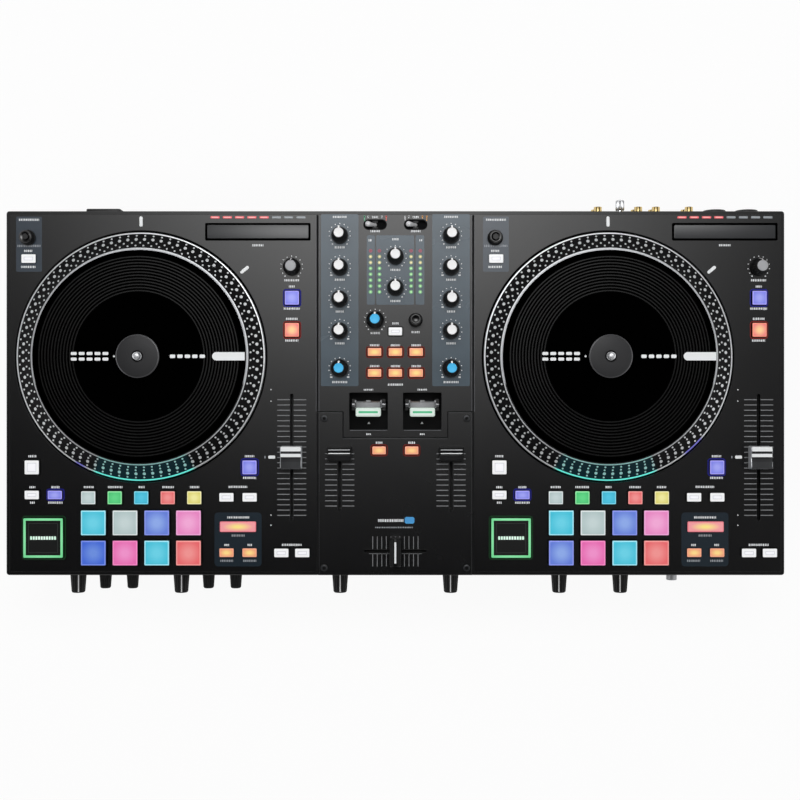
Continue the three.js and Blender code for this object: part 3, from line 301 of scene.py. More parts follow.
PLATTER_FINISHES = {  # outer ring, band between rings, strobe dots and inner ring, each with painted lamp light on its front arc, and the inner ring's inner half, with painted shade along its front
    side: (ring_with_painted_light(f"ring_silver_{side}", "d8dadc", LED_CYAN, RING_LIGHT[side], 0.3, 0.45, 0.35),
           ring_with_painted_light(f"rim_band_{side}", "030304", "04232a", [CYAN_ARC[side]], 0.45, specular=0.12),
           ring_with_painted_light(f"strobe_dots_{side}", "c8cacc", "a6dcd8", [CYAN_ARC[side]], 0.35, 0.3),
           ring_with_painted_light(f"inner_ring_{side}", "babcbf", "a9dedb", [CYAN_ARC[side]], 0.35, 0.45),
           ring_with_painted_light(f"inner_edge_painted_shade_{side}", "b2b4b7", "101112", [(-165, -15, None)], 0.35, 0.45))
    for side in SIDES}
TIP_WHITE = lit("paddle_tip", "e2f1e8", "eef8f2", 0.4)
TIP_GREEN = lit("paddle_green", "45ae7c", "4fb986", 0.5)


# Meshes are lofts between rings of points
SHARP = 32                       # degrees between faces above which an edge stays sharp


def level(points, height):
    return [(x, y, height) for x, y in points]


def near(x, z, *offsets):
    """Points of a profile, given from a radius or inset and a height."""
    return [(x + dx, z + dz) for dx, dz in offsets]


def shifted(points, x, y):
    return [(px + x, py + y) for px, py in points]


def circle(x, y, radius, steps):
    turns = (2 * math.pi * i / steps for i in range(steps))
    return [(x + radius * math.cos(a), y + radius * math.sin(a)) for a in turns]


def rounded(width, depth, corner, steps=4):
    """Corner points of a rounded rectangle, anticlockwise."""
    corner = min(corner, width / 2 - 0.001, depth / 2 - 0.001)
    points = []
    for turn, (sx, sy) in enumerate(((1, 1), (-1, 1), (-1, -1), (1, -1))):
        for i in range(steps + 1):
            angle = math.pi / 2 * (turn + i / steps)
            points.append((sx * (width / 2 - corner) + corner * math.cos(angle),
                           sy * (depth / 2 - corner) + corner * math.sin(angle)))
    return points


def eased(low, high, bevel, steps=3):
    """Profile of a block whose upper edge is rounded off."""
    turns = [math.pi / 2 * i / steps for i in range(steps + 1)]
    return [(0, low)] + [(bevel * (1 - math.cos(a)), high - bevel + bevel * math.sin(a)) for a in turns]


def spin(angle, axis="Z"):
    return Matrix.Rotation(angle, 4, axis)


def moved(x, y, z=0):
    return Matrix.Translation((x, y, z))


def facing_rear(x, y, z):
    return moved(x, y, z) @ spin(-math.pi / 2, "X")


def facing_front(x, y, z):
    return moved(x, y, z) @ spin(math.pi / 2, "X")


def link_new(name, data):
    made = bpy.data.objects.new(name, data)
    bpy.context.scene.collection.objects.link(made)
    return made


def put(name, mesh, body="root", location=(0, 0, 0), replaces=None):
    """Places a mesh, lets it ride on its body, and hides the CAD node that it replaces."""
    piece = link_new(name, mesh)
    piece.location = Vector(location) * MM
    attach(piece, body)
    if replaces:
        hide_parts(replaces)
    return piece


def final_mesh(holder):
    """The mesh of an object as its modifiers or curve settings make it."""
    bpy.context.view_layer.update()
    return bpy.data.meshes.new_from_object(holder.evaluated_get(bpy.context.evaluated_depsgraph_get()))


class Shape:
    """Points and faces collected from lofts, each with its own material slot."""

    def __init__(self):
        self.points, self.faces, self.slots, self.materials = [], [], [], []
        self.place = Matrix.Identity(4)

    def face(self, corners, material):
        if material not in self.materials:
            self.materials.append(material)
        self.faces.append(corners)
        self.slots.append(self.materials.index(material))

    def loft(self, rings, materials, caps=(True, True)):
        """Skins a list of rings of equal length; materials is one, or one for each band."""
        count = len(rings[0])
        starts = []
        for ring in rings:
            starts.append(len(self.points))
            self.points.extend(self.place @ Vector(p) for p in ring)
        bands = materials if isinstance(materials, list) else [materials] * (len(rings) - 1)
        for band, low, high in zip(bands, starts, starts[1:]):
            for i in range(count):
                j = (i + 1) % count
                self.face((low + i, low + j, high + j, high + i), band)
        if caps[0]:
            self.face(tuple(starts[0] + i for i in reversed(range(count))), bands[0])
        if caps[1]:
            self.face(tuple(starts[-1] + i for i in range(count)), bands[-1])

    def turned(self, profile, materials, steps=64, caps=(True, True), flutes=0, depth=0.0):
        """Turns a list of (radius, height) about Z, with optional flutes round it."""
        rings = []
        for radius, height in profile:
            ring = []
            for i in range(steps):
                angle = 2 * math.pi * i / steps
                reach = radius
                if flutes and radius > depth:
                    reach -= depth * (0.5 - 0.5 * math.cos(flutes * angle)) ** 2
                ring.append((reach * math.cos(angle), reach * math.sin(angle), height))
            rings.append(ring)
        self.loft(rings, materials, caps)

    def stack(self, *parts):
        """Turned parts that follow each other upwards: profile, materials, steps, flutes and their depth."""
        for number, (profile, materials, steps, *flutes) in enumerate(parts):
            self.turned(profile, materials, steps, (number == 0, number == len(parts) - 1), *flutes)

    def ring(self, profile, materials, steps=128):
        """Turns a closed profile that doesn't touch the axis."""
        self.turned(profile + profile[:1], materials, steps, (False, False))

    def block(self, width, depth, corner, profile, materials, centre=(0, 0), steps=4, caps=(True, True)):
        """Rounded block: the profile is a list of (inset, height) from the bottom up."""
        rings = []
        for inset, height in profile:
            ring = rounded(width - 2 * inset, depth - 2 * inset, max(corner - inset, 0.02), steps)
            rings.append(level(shifted(ring, *centre), height))
        self.loft(rings, materials, caps)

    def bar(self, x, y, width, depth, material, low=TOP, high=TOP + PRINT):
        """A thin printed bar or plain strip."""
        self.block(width, depth, min(width, depth) * 0.2, [(0, low), (0, high)], material, (x, y), 1)

    def dot(self, x, y, radius, material, steps=12, low=TOP, high=TOP + PRINT):
        keep = self.place
        self.place = keep @ moved(x, y)
        self.turned([(radius, low), (radius, high)], material, steps)
        self.place = keep

    def mesh(self, name, sharp=SHARP):
        """The mesh, in metres, smooth but for edges sharper than an angle."""
        mesh = bpy.data.meshes.new(name)
        mesh.from_pydata([tuple(p * MM) for p in self.points], [], self.faces)
        for material in self.materials:
            mesh.materials.append(material)
        mesh.polygons.foreach_set("material_index", self.slots)
        mesh.polygons.foreach_set("use_smooth", [True] * len(self.faces))
        mesh.update()
        mesh.set_sharp_from_angle(angle=math.radians(sharp))
        return mesh

    def build(self, name, body="root", location=(0, 0, 0), slot=None, replaces=None, sharp=SHARP):
        return put(name, self.mesh(name, sharp), body, location, replaces)


def strip_of(shape, width, low, high, path, material):
    """A narrow bar that follows a path of (reach, height) towards 12 o'clock."""
    half = width / 2
    shape.loft([[(-half, reach + low, height), (half, reach + low, height), (half, reach + high, height),
                 (-half, reach + high, height)] for reach, height in path], material)


def plate_from(name, outlines, low, high, material, replaces, edge=0.25):
    """A flat plate with holes and softened edges, from closed outlines seen from above."""
    curve = bpy.data.curves.new(name, "CURVE")
    curve.dimensions = "2D"
    curve.fill_mode = "BOTH"
    for outline in outlines:
        spline = curve.splines.new("POLY")
        spline.points.add(len(outline) - 1)
        for point, (x, y) in zip(spline.points, outline):
            point.co = (x * MM, y * MM, 0, 1)
        spline.use_cyclic_u = True
    curve.extrude = ((high - low) / 2 - edge) * MM
    curve.bevel_depth = edge * MM
    curve.bevel_resolution = 1
    curve.offset = -edge * MM
    holder = link_new(name + "_outline", curve)
    mesh = final_mesh(holder)
    bpy.data.objects.remove(holder)
    bpy.data.curves.remove(curve)
    mesh.name = name
    mesh.materials.clear()
    mesh.materials.append(material)
    put(name, mesh, "root", (0, 0, (low + high) / 2), replaces)


def deck_xy(side, column, row):
    return (DECK_LEFT[side] + column, FRONT + row)


def mixer_xy(column, row):
    return (column, FRONT + row)


# Keys: name, column, row, width, depth and finish
PITCH_COLUMN = DECK_WIDTH - 22.4
PARAMETER_COLUMN = DECK_WIDTH - 79.1
SMALL_KEY = (12.8, 7.9)
SQUARE_KEY = (12.8, 12.5)
MODE_KEY = (12.8, 11.7)
MIXER_KEY = (12.2, 7.4)
PAD_SIZE = 21.9
MAT_SIZE = (104.2, 47.9)
KEY_RISE = 2.2
PAD_RISE = 3.0
WEB_HEIGHTS = (TOP - 12.4, TOP - 10.8)
CUE_ROW, PARAMETER_ROW, SHIFT_ROW, BEND_ROW = 69.7, 67.7, 93.6, 19.5
BACK_ROW = from_rear(41.6)
SLIP_ROW = from_rear(75.3)
CENSOR_ROW = from_rear(103.1)
MODE_ROW = 67.3
MODE_COLUMNS = [71.5 + step * 22.95 for step in range(5)]
MODE_COLORS = ("pale", "green", "cyan", "red", "yellow")
START_PLACE = (32.65, 32.5)
START_SIZE = 34.7
LOOP_PLACE = (PARAMETER_COLUMN + 10.25, 42.2)
LOOP_SIZE = (31.9, 9.6)
DECK_KEYS = [
    ("back", 19.8, BACK_ROW + 0.2, *SMALL_KEY, "white"),
    ("slip", PITCH_COLUMN + 0.3, SLIP_ROW, *SQUARE_KEY, "violet"),
    ("censor", PITCH_COLUMN + 0.3, CENSOR_ROW, *SQUARE_KEY, "coral"),
    ("range", PARAMETER_COLUMN + 20.25, SHIFT_ROW, *SQUARE_KEY, "violet"),
    ("shift", 22.6, SHIFT_ROW, *SQUARE_KEY, "white"),
    ("cue", 22.6, CUE_ROW, *SMALL_KEY, "white"),
    ("sync", 42.6, CUE_ROW, *SMALL_KEY, "violet"),
    ("parameter_down", PARAMETER_COLUMN + 0.3, PARAMETER_ROW, *SMALL_KEY, "white"),
    ("parameter_up", PARAMETER_COLUMN + 20.4, PARAMETER_ROW, *SMALL_KEY, "white"),
    ("half", PARAMETER_COLUMN + 0.4, BEND_ROW + 0.2, *SMALL_KEY, "orange"),
    ("double", PARAMETER_COLUMN + 20.3, BEND_ROW + 0.2, *SMALL_KEY, "orange"),
    ("bend_down", PITCH_COLUMN + 0.2 - 9.05, BEND_ROW, *SMALL_KEY, "white"),
    ("bend_up", PITCH_COLUMN + 0.2 + 9.05, BEND_ROW, *SMALL_KEY, "white"),
] + [(f"mode_{step + 1}", MODE_COLUMNS[step], MODE_ROW, *MODE_KEY, color)
     for step, color in enumerate(MODE_COLORS)]
PAD_COLUMNS = [76.1 + step * 27.45 for step in range(4)]
PAD_ROWS = {"rear": 45.6, "front": 19.5}
PAD_COLORS = {
    "rear": ("sky", "pale", "periwinkle", "pink"),
    "front": ("blue", "magenta", "sky", "red"),
}
EFFECT_ROW = from_rear(122.3)
EFFECT_PITCH = 18.05
EFFECT_DROP = 18.1
MIXER_KEYS = [("tap", 0.0, from_rear(104.4), *MIXER_KEY, "white")] + [
    (f"effect_{3 * number + step + 2}", step * EFFECT_PITCH, EFFECT_ROW - number * EFFECT_DROP,
     *MIXER_KEY, "orange") for step in (-1, 0, 1) for number in range(2)]
HEADPHONE_COLUMN = 14.1
HEADPHONE_KEYS = [(f"headphone_{side}", sign * HEADPHONE_COLUMN, 108.3, *MIXER_KEY, "peach")
                  for side, sign in zip(SIDES, SIGNS)]

# Faders, windows and slots
SLOT_WIDTH = 3.0
PITCH_SLOT = (PITCH_COLUMN, 102.2, 110.0)
CHANNEL_COLUMN = MIXER_WIDTH / 2 - 19.2
CHANNEL_SLOT_ROWS = (55.2, 110.2)
CROSS_ROW = 20.9
CROSS_SLOT = (53.9, 2.5)
WINDOW_COLUMN = 23.3
WINDOW_ROW = from_rear(173.5)
WINDOW_SIZE = (33.2, 31.9)
SOURCE_COLUMN = 17.6
SOURCE_ROW = from_rear(11.7)
SOURCE_SLOT = (18.2, 7.0)
SOURCE_CORNER = 3.4
SOURCE_LEAN = 42.0
SOURCE_PIVOT = 92.4
SOURCE_FLOOR = 89.5
EYE_HEIGHT = 1145.0
PLATE_HALF = (plate_high.x - plate_low.x) / 2
PLATE_DEPTH = plate_high.y - plate_low.y
PLATE_REAR = FRONT + PLATE_DEPTH
NOTCH_ROW = 119.0
NOTCH_HALF = 45.6
PLATE_GAP = 0.3
SEAM_END = 0.6
platter_low, platter_high = box_of("platter_left")
PLATTER_RADIUS = (platter_high.x - platter_low.x) / 2
WELL_RADIUS = PLATTER_RADIUS + WELL_GAP
WELL_FLOOR = TOP - 8.5
PLATTER_PLACE = {side: centre_of(f"platter_{side}") for side in SIDES}


# Top panel, fader plate and the rim round them
def hole(size, place, corner=1.8, gap=KEY_GAP, steps=3):
    """Outline of a rounded opening, larger by a gap than what stands in it."""
    return shifted(rounded(size[0] + 2 * gap, size[1] + 2 * gap, corner, steps), *place)


def key_hole(key, place):
    return hole(key[3:5], place, 1.4)


def panel_edge(inset, corner):
    return rounded(BODY_WIDTH - 2 * inset, BODY_DEPTH - 2 * inset, corner, EDGE_STEPS)


def plate_outline(grow, low_row=0.0):
    """The U-shaped fader plate, or its seat when it grows by the gap."""
    half, inner = PLATE_HALF + grow, NOTCH_HALF - grow
    rear, notch = PLATE_REAR + grow, FRONT + NOTCH_ROW + grow
    return [(-half, FRONT + low_row), (-half, rear), (-inner, rear), (-inner, notch),
            (inner, notch), (inner, rear), (half, rear), (half, FRONT + low_row)]


FRONT_GAP = 3 * (EDGE_STEPS + 1)     # the point of a panel edge before which the plate's seat opens it


def panel_outlines():
    edge = shifted(panel_edge(RIM_WIDTH, 0.6), 0, MIDDLE_Y)
    outlines = [edge[:FRONT_GAP] + plate_outline(PLATE_GAP, RIM_WIDTH) + edge[FRONT_GAP:]]
    for side in SIDES:
        outlines.append(circle(PLATTER_PLACE[side].x, PLATTER_PLACE[side].y, WELL_RADIUS, 160))
        outlines += [key_hole(key, deck_xy(side, *key[1:3])) for key in DECK_KEYS]
        outlines.append(hole((START_SIZE, START_SIZE), deck_xy(side, *START_PLACE)))
        outlines.append(hole(LOOP_SIZE, deck_xy(side, *LOOP_PLACE)))
        outlines += [hole((PAD_SIZE, PAD_SIZE), deck_xy(side, column, row))
                     for row in PAD_ROWS.values() for column in PAD_COLUMNS]
        outlines.append(hole((SLOT_WIDTH, PITCH_SLOT[2]), deck_xy(side, *PITCH_SLOT[:2]), 1.2, 0))
    outlines += [key_hole(key, mixer_xy(*key[1:3])) for key in MIXER_KEYS]
    for sign in SIGNS:
        outlines.append(hole(WINDOW_SIZE, mixer_xy(sign * WINDOW_COLUMN, WINDOW_ROW), 0.6, 0, 2))
        outlines.append(hole(SOURCE_SLOT, mixer_xy(sign * SOURCE_COLUMN, SOURCE_ROW), SOURCE_CORNER, 0, 6))
    return outlines


def plate_outlines():
    outlines = [plate_outline(0.0)] + [key_hole(key, mixer_xy(*key[1:3])) for key in HEADPHONE_KEYS]
    low, high = CHANNEL_SLOT_ROWS
    for sign in SIGNS:
        place = mixer_xy(sign * CHANNEL_COLUMN, (low + high) / 2)
        outlines.append(hole((SLOT_WIDTH, high - low), place, 1.2, 0))
    return outlines + [hole(CROSS_SLOT, mixer_xy(0, CROSS_ROW), 1.0, 0)]


def make_seams():
    """Dark joints and, beside them, light lines that are painted highlights of the edges, round the fader
    plate and the mixer.
    """
    seams = Shape()
    groove, line = TOP + 0.02, TOP + 0.03
    length = BODY_DEPTH - PLATE_DEPTH - RIM_WIDTH - 2 * SEAM_END
    y = REAR - RIM_WIDTH - SEAM_END - length / 2
    plate_y, plate_length = FRONT + PLATE_DEPTH / 2, PLATE_DEPTH - 2 * SEAM_END
    notch, arm = FRONT + NOTCH_ROW, PLATE_HALF - NOTCH_HALF
    for x in (-MIXER_WIDTH / 2, MIXER_WIDTH / 2):
        seams.bar(x, y, 1.9, length, PIT, high=groove)
        seams.bar(x, plate_y, 1.5, plate_length, PIT, high=groove)
        for sign in SIGNS:
            seams.bar(x + sign * 1.15, y, 0.4, length, EDGE_HIGHLIGHT, high=line)
    for sign in SIGNS:
        seams.bar(sign * (PLATE_HALF - 1.1), plate_y, 0.3, plate_length, PLATE_EDGE_HIGHLIGHT, high=line)
        seams.bar(sign * (PLATE_HALF + NOTCH_HALF) / 2, PLATE_REAR - SEAM_END, arm - 2 * SEAM_END, 0.7,
                  PLATE_EDGE_HIGHLIGHT, high=line)
        seams.bar(sign * (NOTCH_HALF - 0.2), (PLATE_REAR + notch) / 2, 1.0, PLATE_REAR - notch, PIT,
                  high=groove)
    seams.bar(0, notch - SEAM_END, 2 * NOTCH_HALF, 0.7, PLATE_EDGE_HIGHLIGHT, high=line)
    seams.build("panel_seams")


def make_panel():
    plate_from("top_panel_plate", panel_outlines(), PANEL_BOTTOM, TOP, COATED, "top_panel")
    plate_from("fader_plate_cover", plate_outlines(), PANEL_BOTTOM + 0.2, TOP, PLATE,
               "fader_plate", 0.3)
    make_seams()
    outer, inner = panel_edge(0, CORNER), panel_edge(RIM_WIDTH, 0.6)
    start, front = PLATE_HALF + PLATE_GAP, -BODY_DEPTH / 2
    pairs = list(zip(outer, inner))
    run = [((start, front), (start, RIM_WIDTH + front)), *pairs[FRONT_GAP:], *pairs[:FRONT_GAP],
           ((-start, front), (-start, RIM_WIDTH + front))]
    sections = []
    slope = 0.2                      # share of the rim's width that its outer slope takes
    for (ox, oy), (ix, iy) in run:
        mx, my = ox + (ix - ox) * slope, oy + (iy - oy) * slope
        sections.append([(ox, oy + MIDDLE_Y, PANEL_BOTTOM), (ox, oy + MIDDLE_Y, TOP - 0.7),
                         (mx, my + MIDDLE_Y, TOP - RIM_DROP), (ix, iy + MIDDLE_Y, TOP - RIM_DROP),
                         (ix, iy + MIDDLE_Y, PANEL_BOTTOM)])
    rim = Shape()
    rim.loft(sections, RIM_FINISH)
    rim.build("panel_rim", slot="panel")


def make_wells():
    for side in SIDES:
        well = Shape()
        well.ring([(4.8, WELL_FLOOR - 2)] + near(WELL_RADIUS, WELL_FLOOR, (2, -2))
                  + near(WELL_RADIUS, PANEL_BOTTOM, (2, 0), (0, 0))
                  + near(WELL_RADIUS, WELL_FLOOR, (0, 1.5), (-1.5, 0)) + [(4.8, WELL_FLOOR)], PIT, 128)
        well.build(f"platter_well_{side}", "root", (*PLATTER_PLACE[side].xy, 0))


# Casing: the lower tray with its cut-outs, and the feet
AXIS_HEIGHT = TOP - 45
OUTPUT_PLACES = (288.1, 317.1)
PHONO_PLACES = (181.6, 217.8, 233.7, 263.3)
GROUND_PLACE = 202.9
PIN_CIRCLE = 4.6
SOCKET_PROUD = 11.4              # how far the headphone nut stands out of the front
SOCKET_DEPTH = 20


def make_tray():
    wall, bottom, top = 3.0, tray_low.z, tray_high.z
    shell = Shape()
    profile = (near(0, bottom, (5.0, 0), (2.4, 0.5), (0.7, 1.9), (0, 4.4))
               + near(0, top, (0, -0.6), (0.5, 0), (wall, 0)) + near(wall, bottom, (0, 5), (2, wall)))
    shell.block(tray_high.x - tray_low.x, tray_high.y - tray_low.y, CORNER, profile, CASING,
                (0, (tray_low.y + tray_high.y) / 2), 6)
    tray = shell.build("lower_tray")
    cutter = Shape()
    through = (-8, 12)
    jack, inlet = centre_of("headphone_jack"), centre_of("power_inlet")
    cutter.place = facing_front(jack.x, FRONT + 3, jack.z)
    cutter.turned([(5.0, height) for height in through], CASING, 24)
    for x in OUTPUT_PLACES:
        cutter.place = facing_rear(x, REAR - 3, AXIS_HEIGHT)
        cutter.turned([(9.9, height) for height in through], CASING, 32)
    cutter.place = facing_rear(inlet.x, REAR - 3, inlet.z)
    cutter.block(27.5, 21.5, 1.0, [(0, height) for height in through], CASING)
    tool = cutter.build("tray_cutter")
    cut = tray.modifiers.new("cutouts", "BOOLEAN")
    cut.operation = "DIFFERENCE"
    cut.solver = "EXACT"
    cut.object = tool
    mesh = final_mesh(tray)
    tray.modifiers.clear()
    tray.data = mesh
    bpy.data.objects.remove(tool)
    mesh.set_sharp_from_angle(angle=math.radians(SHARP))
    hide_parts("chassis_tray")


def knob_box(name):
    """Lowest and highest corner of a node, its middle and half its width."""
    low, high = box_of(name)
    return low, high, (low + high) / 2, (high.x - low.x) / 2


def make_feet():
    for name in ("foot_front_left", "foot_front_right", "foot_rear_left", "foot_rear_right"):
        low, high, middle, radius = knob_box(name)
        foot = Shape()
        foot.turned(near(radius, low.z, (-2.2, 0), (-0.8, 0.5), (0, 1.6)) + [(radius - 0.8, high.z)],
                    RUBBER, 48)
        foot.turned(near(0, low.z, (3.4, 0.9), (3.4, 0.3), (2.2, 0.2)), STEEL, 24)
        foot.build(f"{name}_pad", "root", (middle.x, middle.y, 0), "foot", name)


# Rear and front sockets, seen along Y
def make_phonos():
    board = Shape()
    for x in PHONO_PLACES:
        for drop, ring in ((8, KNOB_WHITE), (-8, RED_PLASTIC)):
            board.place = facing_rear(x, tray_high.y, AXIS_HEIGHT + drop)
            board.stack(
                ([(5.6, 0), (5.6, 0.9), (5.2, 1.2), (4.2, 1.2)], SOCKET, 32),
                ([(3.6, 0.4), (3.6, 9.6), (3.4, 10.1), (3.1, 10.1), (3.0, 9.8), (3.0, 1.0)], GOLD, 32),
                ([(3.0, 6.6), (1.9, 6.6), (1.7, 6.3), (1.7, 2.0)], ring, 24))
    board.place = facing_rear(GROUND_PLACE, tray_high.y, AXIS_HEIGHT)
    board.stack(([(3.9, 0), (3.9, 1.2), (3.0, 1.2), (3.0, 8.0)], CHROME, 24),
                ([(3.0, 8.0), (3.6, 8.2), (4.0, 9.0), (4.0, 16.6), (3.6, 17.2), (2.0, 17.6), (2.0, 17.8)],
                 CHROME, 96, 24, 0.35))
    board.build("phono_sockets", slot="phono_sockets", replaces="rear_jack_board")


def make_outputs():
    shells = Shape()
    for x in OUTPUT_PLACES:
        axis = facing_rear(x, tray_high.y, AXIS_HEIGHT)
        shells.place = axis
        shells.turned([(10.5, -1.2), (10.5, 6.9), (9.8, 8.0), (8.4, 8.0), (8.0, 7.6), (8.0, -11.6)], SOCKET)
        for turn in (90, 210, 330):
            angle = math.radians(turn)
            shells.place = axis @ moved(PIN_CIRCLE * math.cos(angle), PIN_CIRCLE * math.sin(angle))
            shells.turned([(1.2, -11.6), (1.2, 2.2), (0.5, 3.0)], CHROME, 16, (False, True))
        shells.place = axis
        for sign in SIGNS:
            shells.dot(sign * 8.6, -sign * 8.6, 1.5, STEEL, 16, -0.6, 0.6)
    shells.build("output_socket_shells", slot="socket", replaces="output_sockets")


def make_inlet():
    low, high = box_of("power_inlet")
    middle = (low + high) / 2
    inlet = Shape()
    inlet.place = facing_rear(middle.x, tray_high.y, middle.z)
    proud = high.y - tray_high.y
    floor = proud - SOCKET_DEPTH
    rings = [level(rounded(31 - 2 * inset, 26 - 2 * inset, 2.5 - inset), height)
             for inset, height in ((0, 0.3), (0, proud - 0.6), (0.6, proud))]
    rings += [level(rounded(24, 17, 3.2), height) for height in (proud, floor)]
    inlet.loft(rings, SOCKET)
    for place in ((-6.0, 1.6), (6.0, 1.6), (0.0, -2.6)):
        inlet.block(2.0, 4.2, 0.3, [(0, floor), (0, proud - 5), (0.5, proud - 4)], CHROME, place)
    inlet.build("power_inlet_socket", slot="socket", replaces="power_inlet")


def make_headphone_jack():
    low, high = box_of("headphone_jack")
    jack = Shape()
    flange, nut = 6.6, 4.7
    jack.place = facing_front((low.x + high.x) / 2, tray_low.y, AXIS_HEIGHT)
    proud = max(tray_low.y - low.y, SOCKET_PROUD)
    jack.turned([(flange, 0.1), (flange, 1.2), (nut, 1.8), (nut, proud - 0.4), (nut - 0.4, proud),
                 (3.6, proud), (3.25, proud - 0.4), (3.25, proud - SOCKET_DEPTH)], NUT_METAL, 48)
    jack.build("headphone_socket_nut", slot="socket", replaces="headphone_jack")


# Lit keys: edge and middle of the face, strength, rim, and where there is one the glow round the key
KEY_COLORS = {
    "white": ("f4f5fa", "fafafe", 0.5, "fbfcfd"),
    "violet": ("7a7ee8", "9ea2f2", 0.5, "a9a4ff", "18187a"),
    "coral": ("f27a7c", "fccd94", 0.5, "ff9a80", "701c1a"),
    "orange": ("f29c74", "fcd888", 0.5, "ffae8c", "641a12"),
    "peach": ("f29c74", "fcd08c", 0.5, "ffae90", "641a14"),
    "pale": ("b4c8c8", "cadada", 0.45, "e6eeee"),
    "green": ("46cc76", "62dc8a", 0.45, "9cf6ae"),
    "cyan": ("34bcda", "50ccea", 0.45, "8ae4f8"),
    "red": ("f0686c", "f89694", 0.45, "ffa29e"),
    "yellow": ("e8de70", "fbf5a6", 0.42, "fdf7bd"),
    "sky": ("40c6e0", "6ad8ee", 0.45, "aaf0ff"),
    "periwinkle": ("6480e0", "90aef0", 0.45, "8e9cf4"),
    "pink": ("f088c8", "faacdc", 0.45, "fab0e2"),
    "blue": ("3a66dc", "6a90e6", 0.45, "7c94f0"),
    "magenta": ("f06ab6", "f894d0", 0.45, "ff8ecc"),
}
PAD_ONLY = ("sky", "periwinkle", "pink", "blue", "magenta")
KEY_FINISHES = {name: (lit(f"{'pad' if name in PAD_ONLY else 'key'}_{name}", edge, middle, strength),
                       lit(f"rim_{name}", rim, rim, 0.45))
                for name, (edge, middle, strength, rim, *_) in KEY_COLORS.items()}
GLOWS = {name: colors[4] for name, colors in KEY_COLORS.items() if len(colors) > 4}
HALOS = {name: surface(f"glow_{name}", color, 0.5, bump=0.02, specular=0.2)
         for name, color in {**GLOWS, "start": "0b3117"}.items()}
KEY_WALL = surface("key_wall", "08080a", 0.6, specular=0.2)
LINE_GREY = surface("key_line", "d2d3da", 0.5, scale=1200, bump=0.02, vary=0.05)
START_LINE = surface("start_line", "232726", 0.4, bump=0.02)
START_BLACK = surface("start_black", "0a0b0b", 0.38, bump=0.04, specular=0.3)
START_MARKS = 10
GREEN_LIT = lit("start_frame_lit", "6cd890", "98f0b4", 0.5, (0.3, 0.72))
GREEN_TEXT = lit("start_text", "bff0d2", "e6fff0", 0.5)
LOOP_RIM = lit("loop_rim", "f28490", "f28e8c", 0.45)
LOOP_GLOW = lit("loop_glow", "f49ca2", "fde486", 0.5, (0.08, 0.42))
RED_LIT = lit("lamp_red", "ec646c", "ec646c", 0.55)
RED_CORE = lit("lamp_core", "f8bcb8", "f8bcb8", 0.55)
RED_DIM = surface("lamp_red_dim", "8e4656", 0.4, bump=0.02)
YELLOW_LIT = lit("lamp_yellow", "f4e6b0", "f8f0c4", 0.5)
GREEN_LAMP = lit("lamp_green", "bff0b0", "c8f4b8", 0.5)
LAMP_GLOW, YELLOW_RIM, GREEN_RIM = (
    surface(name, color, 0.45, scale=1300, bump=0.04) for name, color in (
        ("lamp_glow", "4c7563"), ("lamp_rim_yellow", "c3b88c"), ("lamp_rim_green", "7cb982")))
key_meshes = {}


def key_mesh(kind, width, depth, rise, finish):
    """One cap for each size and colour, centred on its own column and row."""
    tag = f"{kind}_{finish}_{width:.0f}_{depth:.0f}"
    if tag in key_meshes:
        return key_meshes[tag]
    face, rim = KEY_FINISHES[finish]
    high = TOP + rise
    step = high - 0.1
    if finish == "white":
        corner, line = 0.8, [(2.2, high), (2.25, step), (2.55, step), (2.6, high)]
        rings = eased(KEY_FOOT, high, 0.4) + line
        bands = [KEY_WALL] + [rim] * 4 + [LINE_GREY] * 3
    else:
        corner, bevel, lip = (0.7, 0.4, 0.9) if kind == "pad" else (0.8, 0.35, 0.7)
        rings = eased(KEY_FOOT, step, bevel) + [(lip, step), (lip + 0.2, high)]
        bands = [KEY_WALL] + [rim] * (len(rings) - 2)
    rings.append((rings[-1][0] + 0.05, high))
    shape = Shape()
    shape.block(width - KEY_TRIM, depth - KEY_TRIM, corner, rings, bands + [face])
    key_meshes[tag] = shape.mesh(tag, 40)
    return key_meshes[tag]


def halo(shape, place, size, material, reach=1.5):
    """Light that leaks round a lit key, as a thin ring on the panel."""
    low, high = (hole(size, place, 1.1 + grow, grow, 4) for grow in (KEY_GAP + 0.05, reach))
    under, over = TOP - 0.3, TOP + 0.03
    rings = [level(low, under), level(low, over), level(high, over), level(high, under)]
    shape.loft(rings + rings[:1], material, (False, False))


def make_caps(keys, glow, place_of, name_of, body):
    """The key caps of a table, with the glow round those that have one."""
    for name, column, row, width, depth, finish in keys:
        mesh = key_mesh("mode" if name.startswith("mode") else "key", width, depth, KEY_RISE, finish)
        place = place_of(column, row)
        put(name_of(name), mesh, body, (*place, 0))
        if finish in GLOWS:
            halo(glow, place, (width, depth), HALOS[finish])


def make_web(name, body, slot, strips):
    """The moulded strips that join a group of keys below the panel and replace its CAD node."""
    shape = Shape()
    for x, y, width, depth in strips:
        shape.block(width, depth, 1.0, [(0, height) for height in WEB_HEIGHTS], CASING, (x, y), 2)
    shape.build(name, body, slot=slot, replaces=body)


